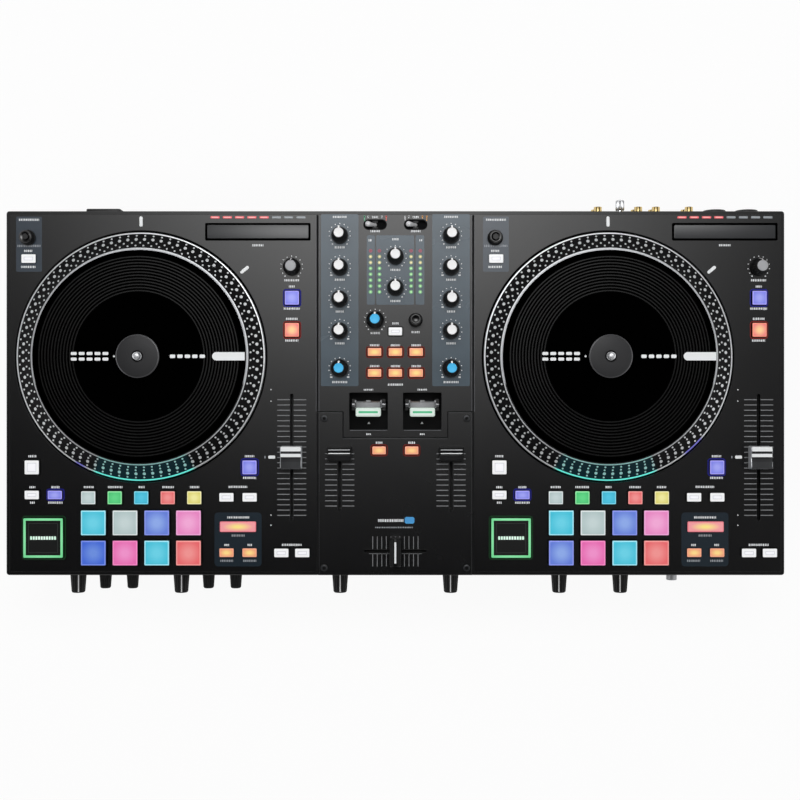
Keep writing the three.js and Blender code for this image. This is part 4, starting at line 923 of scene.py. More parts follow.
def make_deck_keys(side):
    body = f"deck_keys_{side}"
    glow = Shape()
    make_caps(DECK_KEYS, glow, lambda column, row: deck_xy(side, column, row),
              lambda name: f"{name}_key_{side}", body)
    start = Shape()
    high = TOP + 3.0
    face, floor = high - 0.35, high - 0.45
    width = START_SIZE - KEY_TRIM
    frame_profile = ([(0, KEY_FOOT)] + near(0, high, (0, -0.4), (0.1, -0.1), (0.4, 0), (1.9, 0))
                     + [(2.1, face), (4.2, face), (4.3, floor), (4.6, floor), (4.7, face)])
    start.block(width, width, 1.0, frame_profile,
                [KEY_WALL] + [GREEN_LIT] * 4 + [START_BLACK] + [START_LINE] * 3, (0, 0), 5, (True, False))
    start.block(width - 9.4, width - 9.4, 0.5, [(0, high - 0.4), (0, face)], START_BLACK)
    for number in range(START_MARKS):
        offset = (number - (START_MARKS - 1) / 2) * 2.3
        start.bar(offset, 0, 1.75, 3.0, GREEN_TEXT, high - 0.36, face + PRINT)
    place = deck_xy(side, *START_PLACE)
    start.build(f"start_key_{side}", body, (*place, 0), "keys")
    halo(glow, place, (START_SIZE, START_SIZE), HALOS["start"], 1.8)
    loop = Shape()
    high = TOP + KEY_RISE
    rings = eased(KEY_FOOT, high - 0.1, 0.4) + [(0.7, high - 0.1), (0.9, high)]
    width, depth = LOOP_SIZE[0] - KEY_TRIM, LOOP_SIZE[1] - KEY_TRIM
    loop.block(width, depth, 1.0, rings, [KEY_WALL] + [LOOP_RIM] * (len(rings) - 2), (0, 0), 5)
    shine = rounded(width - 1.8, depth - 1.8, 0.8, 5)
    loop.loft([level(shine, high), level(shine, high + 0.02)], LOOP_GLOW)
    place = deck_xy(side, *LOOP_PLACE)
    loop.build(f"loop_key_{side}", body, (*place, 0), "keys")
    halo(glow, place, LOOP_SIZE, HALOS["orange"])
    glow.build(f"key_glow_{side}")
    spans = [
        (9, PARAMETER_COLUMN + 20.1, CUE_ROW - 3, CUE_ROW + 3), (6, 12, CUE_ROW - 3, BACK_ROW + 3),
        (9, 19.1, BACK_ROW - 3, BACK_ROW + 3), (29, 35, 31.9, CUE_ROW), (19, 25, CUE_ROW, SHIFT_ROW),
        (PARAMETER_COLUMN + 17.1, PARAMETER_COLUMN + 23.1, CUE_ROW, SHIFT_ROW),
        (LOOP_PLACE[0] - 3, LOOP_PLACE[0] + 3, BEND_ROW, CUE_ROW),
        (PARAMETER_COLUMN, DECK_WIDTH - 10, BEND_ROW - 3, BEND_ROW + 3),
        (DECK_WIDTH - 13, DECK_WIDTH - 7, BEND_ROW - 3, SLIP_ROW + 3),
        (PITCH_COLUMN, DECK_WIDTH - 10, SLIP_ROW - 3, SLIP_ROW + 3),
        (PITCH_COLUMN, DECK_WIDTH - 10, CENSOR_ROW - 3, CENSOR_ROW + 3),
    ]
    make_web(f"key_web_{side}", body, "keys",
             [(*deck_xy(side, (a + b) / 2, (c + d) / 2), b - a, d - c) for a, b, c, d in spans])


def make_pads(side):
    body = f"pads_{side}"
    for row, place in PAD_ROWS.items():
        for number, column in enumerate(PAD_COLUMNS):
            finish = PAD_COLORS[row][number]
            if side == "right" and (row, number) == ("front", 0):
                finish = "periwinkle"
            mesh = key_mesh("pad", PAD_SIZE, PAD_SIZE, PAD_RISE, finish)
            put(f"pad_{row}_{number + 1}_{side}", mesh, body, (*deck_xy(side, column, place), 0))
    x, y = deck_xy(side, (PAD_COLUMNS[0] + PAD_COLUMNS[3]) / 2, (PAD_ROWS["rear"] + PAD_ROWS["front"]) / 2)
    make_web(f"pad_mat_{side}", body, "pads", [(x, y, *MAT_SIZE)])


def make_mixer_keys():
    glow = Shape()
    make_caps(MIXER_KEYS + HEADPHONE_KEYS, glow, mixer_xy, lambda name: f"{name}_key", "mixer_keys")
    glow.build("key_glow_mixer")
    tap, cue = from_rear(104.9), 107.9
    make_web("mixer_key_web", "mixer_keys", "keys",
             [(0, FRONT + (tap + cue) / 2, 8, tap - cue + 6), (0, FRONT + cue, 28.2, 6),
              (0, FRONT + EFFECT_ROW, 36.1, 6), (0, FRONT + EFFECT_ROW - EFFECT_DROP, 36.1, 6)])


# Platter, control disc and spindle on one deck: radius, dot size, number and turn of each strobe ring
STROBE_RINGS = ((104.7, 0.85, 90, 87.8), (101.4, 1.4, 88, 87.9),
                (98.3, 0.85, 87, 89.9), (95.7, 0.85, 88, 88.1))
PLATTER_HOLE, DISC_HOLE = 8, 4.2
GROOVES = 12
GROOVE_START = 85.6
GROOVE_PITCH = 2.65
SLOPE_IN, RING_OUT, RING_IN = 94.1, 93.9, 91.7
DISC_RADIUS, HUB_RADIUS = 91.5, 18.8
STICKER = (91.2, 63.2, 7.1)      # outer and inner end of the white mark on the disc, and its width


def make_platter(side):
    body = f"platter_{side}"
    low, high = box_of(body)
    disc_low, disc_high = box_of(f"control_disc_{side}")
    bottom = low.z if low.z > WELL_FLOOR else WELL_FLOOR + 1.5
    rim = TOP + 1.5
    ring = rim + 5.0
    seat = ring - 1.0
    middle = (*PLATTER_PLACE[side].xy, 0)
    # The rings, band and strobe dots carry painted lamp light on their front arc, and the inner edge painted
    # shade along its front
    silver, band, dot_finish, inner, inner_edge_painted_shade = PLATTER_FINISHES[side]
    base = Shape()
    base.ring([(PLATTER_HOLE, bottom)] + near(PLATTER_RADIUS, bottom, (-0.8, 0), (0, 0.8))
              + near(PLATTER_RADIUS, rim, (0, -0.7), (-0.2, -0.1), (-0.4, 0), (-1.15, 0.05), (-1.3, -0.1))
              + [(SLOPE_IN, ring - 0.3)] + near(RING_OUT, ring, (0, -0.1), (-0.2, 0), (-1.0, 0))
              + near(RING_IN, ring, (0.2, 0), (0, -0.25)) + [(RING_IN, seat), (PLATTER_HOLE, seat)],
              [silver] * 7 + [band] * 2 + [inner] * 2 + [inner_edge_painted_shade] * 2 + [band] * 3, 192)
    base.build(f"platter_rim_{side}", body, middle, "platter", body)

    dots = Shape()
    start_radius, start_height = PLATTER_RADIUS - 1.3, rim - 0.1
    slope = (ring - 0.3 - start_height) / (start_radius - SLOPE_IN)
    for radius, size, count, turn in STROBE_RINGS:
        height = start_height + (start_radius - radius) * slope
        for number in range(count):
            angle = 2 * math.pi * number / count + math.radians(turn)
            dots.place = spin(angle) @ moved(radius, 0, height) @ spin(math.atan(slope), "Y")
            dots.turned([(size, -0.15), (size, 0.06)], dot_finish, 10)
    dots.build(f"strobe_dots_{side}", body, middle, "platter")

    bottom, top, hub_top = seat + 0.2, disc_low.z + 2.5, disc_high.z - 0.1
    profile = ([(DISC_HOLE, bottom)] + near(DISC_RADIUS, bottom, (-0.5, 0), (0, 0.5))
               + near(DISC_RADIUS, top, (0, -0.4), (-0.4, 0)))
    for number in range(GROOVES):
        profile += near(GROOVE_START - number * GROOVE_PITCH, top,
                        (0.55, 0), (0.4, 0.1), (-0.4, 0.1), (-0.55, 0))
    profile += near(HUB_RADIUS, top, (1.0, 0), (0.2, 1.0), (0, 3.6))
    profile += near(HUB_RADIUS, hub_top, (-0.1, -0.8), (-0.35, -0.45), (-1.1, -0.1), (-1.5, 0))
    profile += near(0, hub_top, (5.0, 0), (4.8, -0.5), (4.4, -0.5), (DISC_HOLE, -0.8))
    # The hub's lighter grey bevel is in part painted highlight
    bands = ([DISC_BLACK] * 4 + [DISC_BLACK, DISC_LINE, DISC_LINE, DISC_LINE] * GROOVES + [DISC_BLACK] * 3
             + [HUB_GREY, HUB_EDGE_HIGHLIGHT, HUB_EDGE_HIGHLIGHT, HUB_GREY, HUB_GREY] + [PIT] * 4)
    disc = Shape()
    disc.ring(profile, bands, 160)
    disc.build(f"control_disc_{side}_face", body, middle, "control_disc", f"control_disc_{side}", 24)

    marks = Shape()
    end, start, width = STICKER
    half = width / 2
    outline = [(end, -half), (end, half)] + [
        (start + half + half * math.cos(angle), half * math.sin(angle))
        for angle in (math.pi / 2 + math.pi * step / 8 for step in range(9))]
    marks.loft([level(outline, top + height) for height in (-0.3, 0.18)], CAP_WHITE)
    marks.dot(-21.0, 0, 0.9, CAP_WHITE, 16, top - 0.2, top + PRINT)
    for number in range(-2, 3):
        for row in SIGNS:
            marks.bar(-42.0 + number * 6.8, row * 2.4, 5.0, 2.6, CAP_WHITE, top - 0.2, top + 0.17)
        marks.bar(42.0 + number * 6.4, 0, 4.6, 3.0, CAP_WHITE, top - 0.2, top + 0.17)
    marks.build(f"disc_marks_{side}", body, middle, "control_disc")

    spindle = Shape()
    spindle.turned([(3.75, min(low.z, seat))] + near(0, high.z, (3.75, -6.0), (3.4, -5.6), (3.35, -1.6),
                                                     (3.0, -0.7), (2.3, -0.2), (1.0, 0)), SPINDLE, 48)
    spindle.build(f"spindle_{side}", body, middle, "platter")


# Knobs that stand on the panel
GRIP_STEPS = 144                 # points round a fluted knob, a multiple of its flutes
STOP_KNOB_DROP = 3.0
ENCODER_DROP = 4.5


def pointer(shape, sides):
    """A white line down the side of a knob, from the cap to the skirt."""
    strip_of(shape, 1.0, -0.6, 0.14, sides, KNOB_WHITE)


def make_channel_knob(name, cap_material=KNOB_WHITE):
    low, high, middle, skirt = knob_box(name)
    base, top = low.z, high.z
    cap, waist = 4.05, 5.9
    knob = Shape()
    # The skirt's upper edge carries a ring of painted highlight
    knob.stack(
        (near(skirt, base, (-0.5, 0), (0, 0.5), (0, 2.0), (-0.25, 2.3), (-0.5, 2.4))
         + near(waist, base, (0.55, 4.0), (0.35, 5.4)),
         [KNOB_BLACK] * 3 + [KNOB_EDGE_HIGHLIGHT] + [KNOB_BLACK] * 2, 72),
        (near(waist, base, (0.35, 5.4)) + near(cap, top, (1.05, -1.2), (0.7, -0.6)),
         KNOB_RUBBER, GRIP_STEPS, 18, 0.35),
        (near(cap, top, (0.7, -0.6), (0.1, -0.4), (0, -0.3), (-0.3, 0), (-1.4, -0.1)) + [(0.6, top - 0.3)],
         [KNOB_BLACK] + [cap_material] * 4, GRIP_STEPS))
    strip_of(knob, 1.4, -1.9, 0.1, near(waist, base, (0.55, 4.4))
             + near(cap, top, (1.9, -2.4), (1.75, -0.7), (1.4, -0.35)), KNOB_WHITE)
    knob.build(f"{name}_cap", name, (middle.x, middle.y, 0), "knob", name)


def make_stop_knob(name):
    low, high, middle, skirt = knob_box(name)
    base, top = low.z, high.z - STOP_KNOB_DROP
    knob = Shape()
    knob.stack(
        (near(skirt, base, (-0.5, 0), (0, 0.5), (0, 2.2), (-0.4, 2.9))
         + near(0, base, (6.9, 4.0), (6.7, 4.6)), KNOB_BLACK, 72),
        ([(6.7, base + 4.6), (5.6, top - 1.1), (5.0, top - 0.5)], KNOB_RUBBER, GRIP_STEPS, 18, 0.4),
        (near(0, top, (5.0, -0.5), (4.6, -0.3)), KNOB_BLACK, GRIP_STEPS),
        (near(0, top, (4.6, -0.3), (4.3, -0.1), (3.6, 0), (0.6, -0.15)), KNOB_GREY, GRIP_STEPS))
    pointer(knob, near(skirt, base, (0, 1.0), (-0.1, 2.8)) + [(6.8, base + 4.6), (5.3, top - 0.6)])
    knob.build(f"{name}_cap", name, (middle.x, middle.y, 0), "knob", name)


def make_encoder(name):
    low, high, middle, skirt = knob_box(name)
    base, top = low.z, high.z - (ENCODER_DROP if name.startswith("browse") else 0)
    knob = Shape()
    knob.stack(
        (near(skirt, base, (-0.4, 0), (0, 0.5), (0, 1.6), (-0.5, 2.2)), KNOB_BLACK, GRIP_STEPS),
        (near(skirt, base, (-0.5, 2.2)) + near(skirt, top, (-0.9, -1.6), (-1.4, -0.7)),
         KNOB_RUBBER, GRIP_STEPS, 24, 0.35),
        (near(skirt, top, (-1.4, -0.7), (-1.9, -0.15), (-2.4, 0), (-3.0, -0.1), (-3.8, -0.5))
         + [(0.5, top - 0.75)], GLOSS_BLACK, GRIP_STEPS))
    knob.build(f"{name}_cap", name, (middle.x, middle.y, 0), "knob", name)


def make_panel_knobs():
    for side in SIDES:
        for row in ("level", "high", "mid", "low"):
            make_channel_knob(f"{row}_knob_{side}")
        make_channel_knob(f"filter_knob_{side}", KNOB_BLUE)
        make_encoder(f"browse_encoder_{side}")
        make_stop_knob(f"stop_time_knob_{side}")
    make_channel_knob("main_knob")
    make_channel_knob("booth_knob")
    make_channel_knob("effect_depth_knob", KNOB_BLUE)
    make_encoder("effect_beat_encoder")


# Knobs on the front edge, turned about an axis towards the user
FRONT_KNOBS = ["fader_contour_knob_left", "fader_contour_knob_right", "cue_mix_knob", "cue_level_knob"] + [
    f"microphone_{kind}_knob_{number}" for number in (1, 2) for kind in ("level", "high", "low")]
LARGE_KNOB = 6.5                 # radius above which a front knob has a pointer


def make_front_knobs():
    for name in FRONT_KNOBS:
        low, high, middle, radius = knob_box(name)
        length = high.y - low.y
        tip = radius * 0.78
        lean = math.atan2(-middle.x, EYE_HEIGHT - middle.z)
        knob = Shape()
        knob.place = facing_front(0, high.y, middle.z) @ spin(-lean)
        knob.stack(
            (near(radius, 0, (-0.4, 0), (0, 0.4), (0, 1.6), (-0.25, 2.2)), KNOB_BLACK, GRIP_STEPS),
            ([(radius - 0.25, 2.2)] + near(tip, length, (0.05, -1.2), (-0.3, -0.5)),
             KNOB_RUBBER, GRIP_STEPS, 18, 0.5),
            (near(tip, length, (-0.3, -0.5), (-0.8, 0), (-1.6, -0.1), (-2.0, -0.5))
             + [(0.4, length - 0.6)], KNOB_BLACK, GRIP_STEPS))
        if radius > LARGE_KNOB:
            pointer(knob, [(radius - 0.1, 2.4), (tip + 0.05, length - 1.0)])
        knob.build(f"{name}_cap", name, (middle.x, 0, 0), "knob", name)


# Fader caps
def lath(near, far, low, high):
    return [(near, low), (near, high), (far, high), (far, low)]


def prism(shape, outline, half, bevel, material, across_x=True):
    """A bar with the given side outline, its two ends softened; the outline runs along the other axis."""
    middle = sum(p[0] for p in outline) / len(outline)
    rings = []
    for place, shrink in ((-half, bevel), (bevel - half, 0), (half - bevel, 0), (half, bevel)):
        ring = []
        for reach, height in outline:
            towards = 1 if reach > middle else -1
            reach -= towards * min(shrink, abs(reach - middle)) * 0.8
            height -= shrink * 0.6 if height > outline[0][1] + 1 else 0
            ring.append((place, reach, height) if across_x else (-reach, place, height))
        rings.append(ring)
    shape.loft(rings, material)


def cap_outline(half, low, high, dish, lip):
    """Side view of a fader cap: a foot, sloped flanks, two crests and a dished middle."""
    flank = (near(half, low, (0, 0), (0, 1.6)) + near(half, high, (-0.9, -2.6), (-lip * 0.5, -0.8))
             + near(half - lip, high, (0, -0.2), (-0.6, 0), (-1.4, -0.3))
             + near(0, high - dish, (1.2, 0.1), (0.6, 0)))
    return flank + [(-reach, height) for reach, height in reversed(flank)]


CAP_DISH = 1.9
PITCH_BANDS = (  # from and to along the cap, and finish; the white bands towards the rear are painted highlight, and the shade, grey and slate bands are painted shade, darker towards the front
    (5.6, 9.5, CAP_WHITE), (3.5, 5.6, CAP_SHADE), (0.7, 3.5, CAP_WHITE), (-0.4, 0.7, CAP_BLACK),
    (-3.4, -0.4, CAP_SHADE_GREY), (-9.5, -3.4, CAP_SHADE_SLATE))
CAP_MARKS = {  # place, half width, end trim, height over the dish, finish; the channel's second mark is a painted highlight along the cap's rear edge
    "channel": ((1.3, 0.85, 0.9, 0.1, CAP_WHITE), (3.9, 0.4, 0.9, 1.9, CAP_EDGE_HIGHLIGHT)),
    "crossfader": ((0.0, 0.8, 2.9, 0.1, CAP_WHITE),),
}


def make_fader(name, width, length, along_y, material, lip=1.6):
    low, high = box_of(name)
    middle = (low + high) / 2
    kind = name.split("_")[0]
    base, crest, groove = TOP + 0.6, high.z - 2.2, high.z - CAP_DISH
    cap = Shape()
    prism(cap, cap_outline(length / 2, base, high.z, CAP_DISH, lip), width / 2, 0.7, material, along_y)
    for near, far, finish in PITCH_BANDS if kind == "pitch" else ():
        prism(cap, lath(near, far, crest, high.z + 0.04), width / 2 - 0.5, 0.05, finish, along_y)
    for sign in SIGNS:
        for step in range(3):
            reach = sign * (length / 2 - 0.55 - 0.22 * step)
            height = base + 2.6 + step * 2.0
            if height < crest:
                rib = lath(reach + 0.25, reach - 0.5, height, height + 0.7)
                prism(cap, rib, width / 2 - 1.2, 0.1, material, along_y)
    for place, half, trim, height, finish in CAP_MARKS.get(kind, ()):
        line = lath(place + half, place - half, groove - 0.3, groove + height)
        prism(cap, line, width / 2 - trim, 0.05, finish, along_y)
    stem = (1.8, 5.0) if along_y else (5.0, 1.8)
    cap.block(*stem, 0.4, [(0, low.z), (0, base)], METAL, (0, 0), 2)
    slot = "pitch_cap" if kind == "pitch" else "fader_cap"
    cap.build(f"{name}_cap", name, (middle.x, middle.y, 0), slot, name)


def make_faders():
    for side in SIDES:
        make_fader(f"pitch_fader_{side}", 18.3, 20.0, True, CAP_SILVER, 2.4)
        make_fader(f"channel_fader_{side}", 20.4, 13.0, True, CAP_BLACK)
    make_fader("crossfader", 24.0, 10.6, False, CAP_BLACK, 1.2)


# Effect paddles in their dark windows
def make_paddle(side):
    name = f"effect_paddle_{side}"
    low, high = box_of(name)
    middle = ((low + high) / 2).x
    axle_y, axle_z = -7.7, 87.8
    tip_y, tip_low, tip_high = -14.0, 97.75, high.z
    paddle = Shape()
    paddle.place = moved(0, axle_y, axle_z) @ spin(math.pi / 2, "Y")
    paddle.turned([(2.1, -14.75), (2.5, -14.4), (2.5, 14.4), (2.1, 14.75)], METAL, 32)
    paddle.place = Matrix.Identity(4)
    prism(paddle, lath(axle_y + 1.2, axle_y - 1.2, axle_z, 100.4), 11.75, 0.4, METAL)
    back = [(-4.7, 100.2), (-4.5, 101.6), (-5.6, 103.0), (-9.8, 103.0), (-10.2, 102.4), (-10.2, 100.2)]
    prism(paddle, back, 11.75, 0.5, METAL)
    paddle.block(4.2, 1.8, 0.5, [(0, 100.6), (0, 102.2), (0.4, 102.6)], METAL, (0, -4.5), 3)
    for sign in SIGNS:
        paddle.block(1.6, 7.0, 0.5, [(0, 100.2), (0, 102.6), (0.3, 103.0)], METAL, (sign * 11.0, -7.0), 3)
    paddle.build(f"paddle_lever_{side}", name, (middle, 0, 0), "metal_lever", name)
    tip = Shape()
    profile = ([(0.6, tip_low), (0, tip_low + 0.8)] + eased(tip_low + 1.0, tip_high - 0.2, 1.2, 4)
               + [(1.5, tip_high)])
    tip.block(21.6, 7.7, 1.6, profile, TIP_WHITE, (0, tip_y), 6)
    tip.block(16.6, 1.8, 0.5, [(0, tip_high - 0.3), (0, tip_high + PRINT)], TIP_GREEN, (0, tip_y), 3)
    tip.build(f"paddle_tip_{side}", name, (middle, 0, 0), "metal_lever")


def make_windows():
    liner, rims = Shape(), Shape()
    width, depth = WINDOW_SIZE
    floor = TOP - 12.0
    sources = [mixer_xy(sign * SOURCE_COLUMN, SOURCE_ROW) for sign in SIGNS]
    for sign in SIGNS:
        x, y = mixer_xy(sign * WINDOW_COLUMN, WINDOW_ROW)
        outer = [(-1.2, floor - 1.0), (-1.2, PANEL_BOTTOM), (0, PANEL_BOTTOM), (0, floor)]
        liner.block(width + 0.4, depth + 0.4, 1.4, outer, PIT, (x, y), 3)
        arrow = [(x - 1.3, FRONT + 131.0), (x + 1.3, FRONT + 131.0), (x, FRONT + 133.0)]
        liner.loft([level(arrow, height) for height in (floor, floor + PRINT)], INK)
        # A painted highlight along the window's front edge
        liner.bar(x, y - depth / 2 - 0.7, width - 1.0, 0.5, EDGE_HIGHLIGHT)
    for x, y in sources:
        slot = [(-1.0, PANEL_BOTTOM - 1.0), (-1.0, PANEL_BOTTOM), (0, PANEL_BOTTOM), (0, PANEL_BOTTOM - 0.4)]
        for profile in (slot, [(0, SOURCE_FLOOR - 1.5), (0, SOURCE_FLOOR)]):
            liner.block(*SOURCE_SLOT, SOURCE_CORNER, profile, PIT, (x, y), 5)
        for number in range(4):
            for sign in SIGNS:
                liner.bar(x + sign * (3.0 + 1.5 * number), y, 0.7, 5.2 - 0.5 * number, BOOT_RIB,
                          SOURCE_FLOOR, SOURCE_FLOOR + 1.0)
    liner.build("window_liners")
    edge = near(0, TOP, (-1.1, 0), (-0.9, 0.35), (-0.2, 0.35), (0.1, 0), (-1.1, 0))
    for place in sources:
        rims.block(*SOURCE_SLOT, SOURCE_CORNER, edge, PIT, place, 8, (False, False))
    rims.build("source_slot_rims")


def make_source_switches():
    for side, sign in zip(SIDES, SIGNS):
        switch = f"source_switch_{side}"
        lever = Shape()
        lever.place = spin(math.pi / 2, "X")
        lever.turned([(0.9, -3.2), (0.9, 3.2)], METAL, 24)
        lever.place = spin(-math.radians(SOURCE_LEAN), "Y")
        lever.turned([(1.2, -1.0), (1.5, 2.4), (1.95, 5.4), (2.35, 8.4), (2.45, 9.3), (2.3, 10.1),
                      (1.85, 10.8), (1.1, 11.35), (0.3, 11.6)], LEVER, 40)
        place = (*mixer_xy(sign * SOURCE_COLUMN, SOURCE_ROW), SOURCE_PIVOT)
        lever.build(f"{switch}_lever", switch, place, "metal_lever", switch)


# Touch strip with its lamps, one on each deck
STRIP_MIDDLE = (DECK_WIDTH - 51.8, from_rear(17.9))
STRIP_SIZE = (91.4, 15.2)
STRIP_FRAME = 1.8
STRIP_LAMPS = {"left": 5, "right": 4}       # how many of the eight are lit
STRIP_LAMP_COLUMN, STRIP_LAMP_PITCH, STRIP_LAMP_ROW = 181.1, 10.64, 310.4


def make_touch_strip(side):
    width, depth = STRIP_SIZE
    strip = Shape()
    rings = []
    for inset, height in near(0, TOP, (0, 0), (0, 0.5), (0.3, 0.7), (STRIP_FRAME - 0.1, 0.7),
                              (STRIP_FRAME, 0.3)):
        rings.append(level(rounded(width - 2 * inset, depth - 2 * inset, 1.0, 3), height))
    strip.loft(rings, DISC_BLACK, (False, False))
    strip.block(width - 2 * STRIP_FRAME, depth - 2 * STRIP_FRAME, 0.5,
                [(0, TOP), (0, TOP + 0.3), (0.2, TOP + 0.35)], STRIP_GREY, (0, 0), 3)
    strip.build(f"touch_strip_{side}", "root", (*deck_xy(side, *STRIP_MIDDLE), 0), "panel")
    lamps = Shape()
    for number in range(8):
        place = deck_xy(side, STRIP_LAMP_COLUMN + number * STRIP_LAMP_PITCH, STRIP_LAMP_ROW)
        on = number < STRIP_LAMPS[side]
        lamps.block(7.9, 1.9, 0.6, [(0, TOP - 0.2), (0, TOP + 0.1), (0.2, TOP + 0.25)],
                    RED_LIT if on else LAMP_OFF, place, 3)
        if on:
            lamps.block(5.6, 0.7, 0.3, [(0, TOP), (0, TOP + 0.27)], RED_CORE, place, 2)
    lamps.build(f"strip_lamps_{side}")


# Blue-grey printed areas and the meter lamps
METER_TOP, METER_PITCH = 281.4, 5.1


def make_printed_areas():
    prints = Shape()

    def area(x0, x1, low, high, material=BLUE_GREY, corner=1.2):
        prints.block(x1 - x0, high - low, corner, [(0, TOP), (0, TOP + 0.05)], material,
                     ((x0 + x1) / 2, FRONT + (low + high) / 2), 3)

    for left in DECK_LEFT.values():
        area(left + 8.5, left + 30.9, 263.2, 311.0, BROWSE_BLUE)
        area(left + 180.6, left + 221.4, 7.6, 54.4, LOOP_BLUE, 3.0)
    for x in (-CHANNEL_COLUMN, CHANNEL_COLUMN):
        area(x - 16.3, x + 16.3, 164.0, 313.1)
    for x0, x1 in ((-16.7, 16.2), (-24.8, -17.8), (17.6, 25.1)):
        area(x0, x1, 234.6, 294.8)
    prints.build("printed_areas")
    lamps = Shape()
    for column in (-21.5, -13.8, 13.6, 21.6):
        for number in range(8):
            place = mixer_xy(column, METER_TOP - number * METER_PITCH)
            if number == 0:
                lamps.dot(*place, 1.6, RED_DIM, 20, high=TOP + 0.08)
                continue
            core, rim = (YELLOW_LIT, YELLOW_RIM) if number < 3 else (GREEN_LAMP, GREEN_RIM)
            lamps.dot(*place, 1.9, LAMP_GLOW, 20, high=TOP + 0.08)
            lamps.dot(*place, 1.45, rim, 16, high=TOP + 0.15)
            lamps.dot(*place, 0.85, core, 16, high=TOP + 0.3)
    lamps.build("meter_lamps")


# Small print: dials, scales and plain dashes in the places of words
DASHES = (1.2, 0.8, 1.3, 1.0, 0.7, 1.1)
DASH_GAP = 0.5
PITCH_SCALE, CHANNEL_SCALE, CROSS_SCALE = 4.56, 4.54, 3.93     # step between the lines of each scale
PILL_RADIUS = 117.3              # where the two white position lamps stand round a platter
FULL_ENDS = (10.5, 135.5, 2.1)   # mark at each end of a dial: its radius, angle and width
PLAIN_ENDS = (9.9, 144, 1.2)
LEVEL_ENDS = (10.7, 144, 1.2)


def dashes(shape, place, width, material=INK, height=1.9):
    """A row of short dashes, centred, in the place of a word."""
    x, y = place
    spans = []
    total = 0.0
    number = int(abs(x) + abs(y))
    while total < width:
        spans.append(min(DASHES[number % len(DASHES)], max(width - total, 0.6)))
        total += spans[-1] + DASH_GAP
        number += 1
    left = x - (total - DASH_GAP) / 2
    for span in spans:
        shape.bar(left + span / 2, y, span, height, material)
        left += span + DASH_GAP


def dial(shape, place, ends=FULL_ENDS, radius=9.4):
    """Dots round a knob, closed at each end by a small mark."""
    x, y = place
    low, high = TOP + 0.05, TOP + 0.05 + PRINT

    def at(reach, turn):
        angle = math.pi / 2 + math.radians(turn)
        return (x + reach * math.cos(angle), y + reach * math.sin(angle))

    for number in range(-5, 6):
        shape.dot(*at(radius, 25 * number), 0.5, INK, 10, low, high)
    reach, turn, width = ends
    for sign in SIGNS:
        shape.bar(*at(reach, sign * turn), width, 1.2, INK, low, high)


# Rows of dashes: column, row, width, and finish and height where they aren't the usual ones
SHIFT_COLUMN, RANGE_COLUMN = 22.6, PARAMETER_COLUMN + 20.1
DECK_WORDS = [
    (19.7, 308.3, 17), (19.6, 285.6, 20, FAINT_INK), (19.0, 281.3, 7), (19.0, 267.4, 12),
    (PITCH_COLUMN, SLIP_ROW + 9.9, 5), (PITCH_COLUMN, SLIP_ROW - 9.3, 14),
    (PITCH_COLUMN, CENSOR_ROW + 9.7, 10), (PITCH_COLUMN, CENSOR_ROW - 9.2, 11),
    (RANGE_COLUMN, SHIFT_ROW + 9.6, 8), (RANGE_COLUMN, SHIFT_ROW - 9.2, 11),
    (SHIFT_COLUMN, SHIFT_ROW + 9.6, 7), (SHIFT_COLUMN, CUE_ROW + 6.6, 5), (42.6, CUE_ROW + 6.6, 7),
    (42.6, CUE_ROW - 6.8, 12), (SHIFT_COLUMN, CUE_ROW - 6.8, 4), (PARAMETER_COLUMN + 10.0, CUE_ROW + 6.9, 16),
    (PITCH_COLUMN, BEND_ROW + 6.8, 17), (PITCH_COLUMN, 255.8, 13), (STRIP_MIDDLE[0], 286.2, 10),
    *((column, 76.4, width) for column, width in zip(MODE_COLUMNS, (9, 12, 5, 10, 8))),
    (LOOP_PLACE[0], 50.1, 19), (LOOP_PLACE[0], 34.4, 11, FAINT_INK),
    (LOOP_PLACE[0] - 10.0, 26.2, 4), (LOOP_PLACE[0] - 10.0, 12.5, 11, FAINT_INK),
    (LOOP_PLACE[0] + 10.0, 26.2, 4), (LOOP_PLACE[0] + 10.0, 12.5, 11, FAINT_INK),
]


def make_deck_print(side):
    ink_shape = Shape()
    for column, row, *look in DECK_WORDS:
        dashes(ink_shape, deck_xy(side, column, row), *look)
    for number in range(23):
        for sign in SIGNS:
            place = deck_xy(side, PITCH_COLUMN + sign * 7.1, 51.9 + number * PITCH_SCALE)
            ink_shape.bar(*place, 11.0, 0.75, SCALE_INK)
    ink_shape.bar(*deck_xy(side, 230.2, 102.4), 6.0, 2.7, CAP_WHITE)
    ink_shape.bar(*deck_xy(side, 224.4, 102.4), 0.9, 2.2, FAINT_INK)
    for row in (160.9, 151.0, 52.1, 43.3):
        ink_shape.dot(*deck_xy(side, 229.6, row), 0.8, INK, 3)
    dial(ink_shape, deck_xy(side, PITCH_COLUMN, from_rear(48.4)), PLAIN_ENDS)
    ink_shape.build(f"deck_print_{side}")

    pills = Shape()
    middle = PLATTER_PLACE[side]
    for turn in (math.radians(90), math.radians(40)):
        x, y = middle.x + PILL_RADIUS * math.cos(turn), middle.y + PILL_RADIUS * math.sin(turn)
        pills.place = moved(x, y) @ spin(turn)
        pills.block(9.0, 2.8, 1.35, [(0, TOP), (0, TOP + 0.3), (0.3, TOP + 0.5)], CAP_WHITE, (0, 0), 6)
    pills.build(f"position_lamps_{side}")


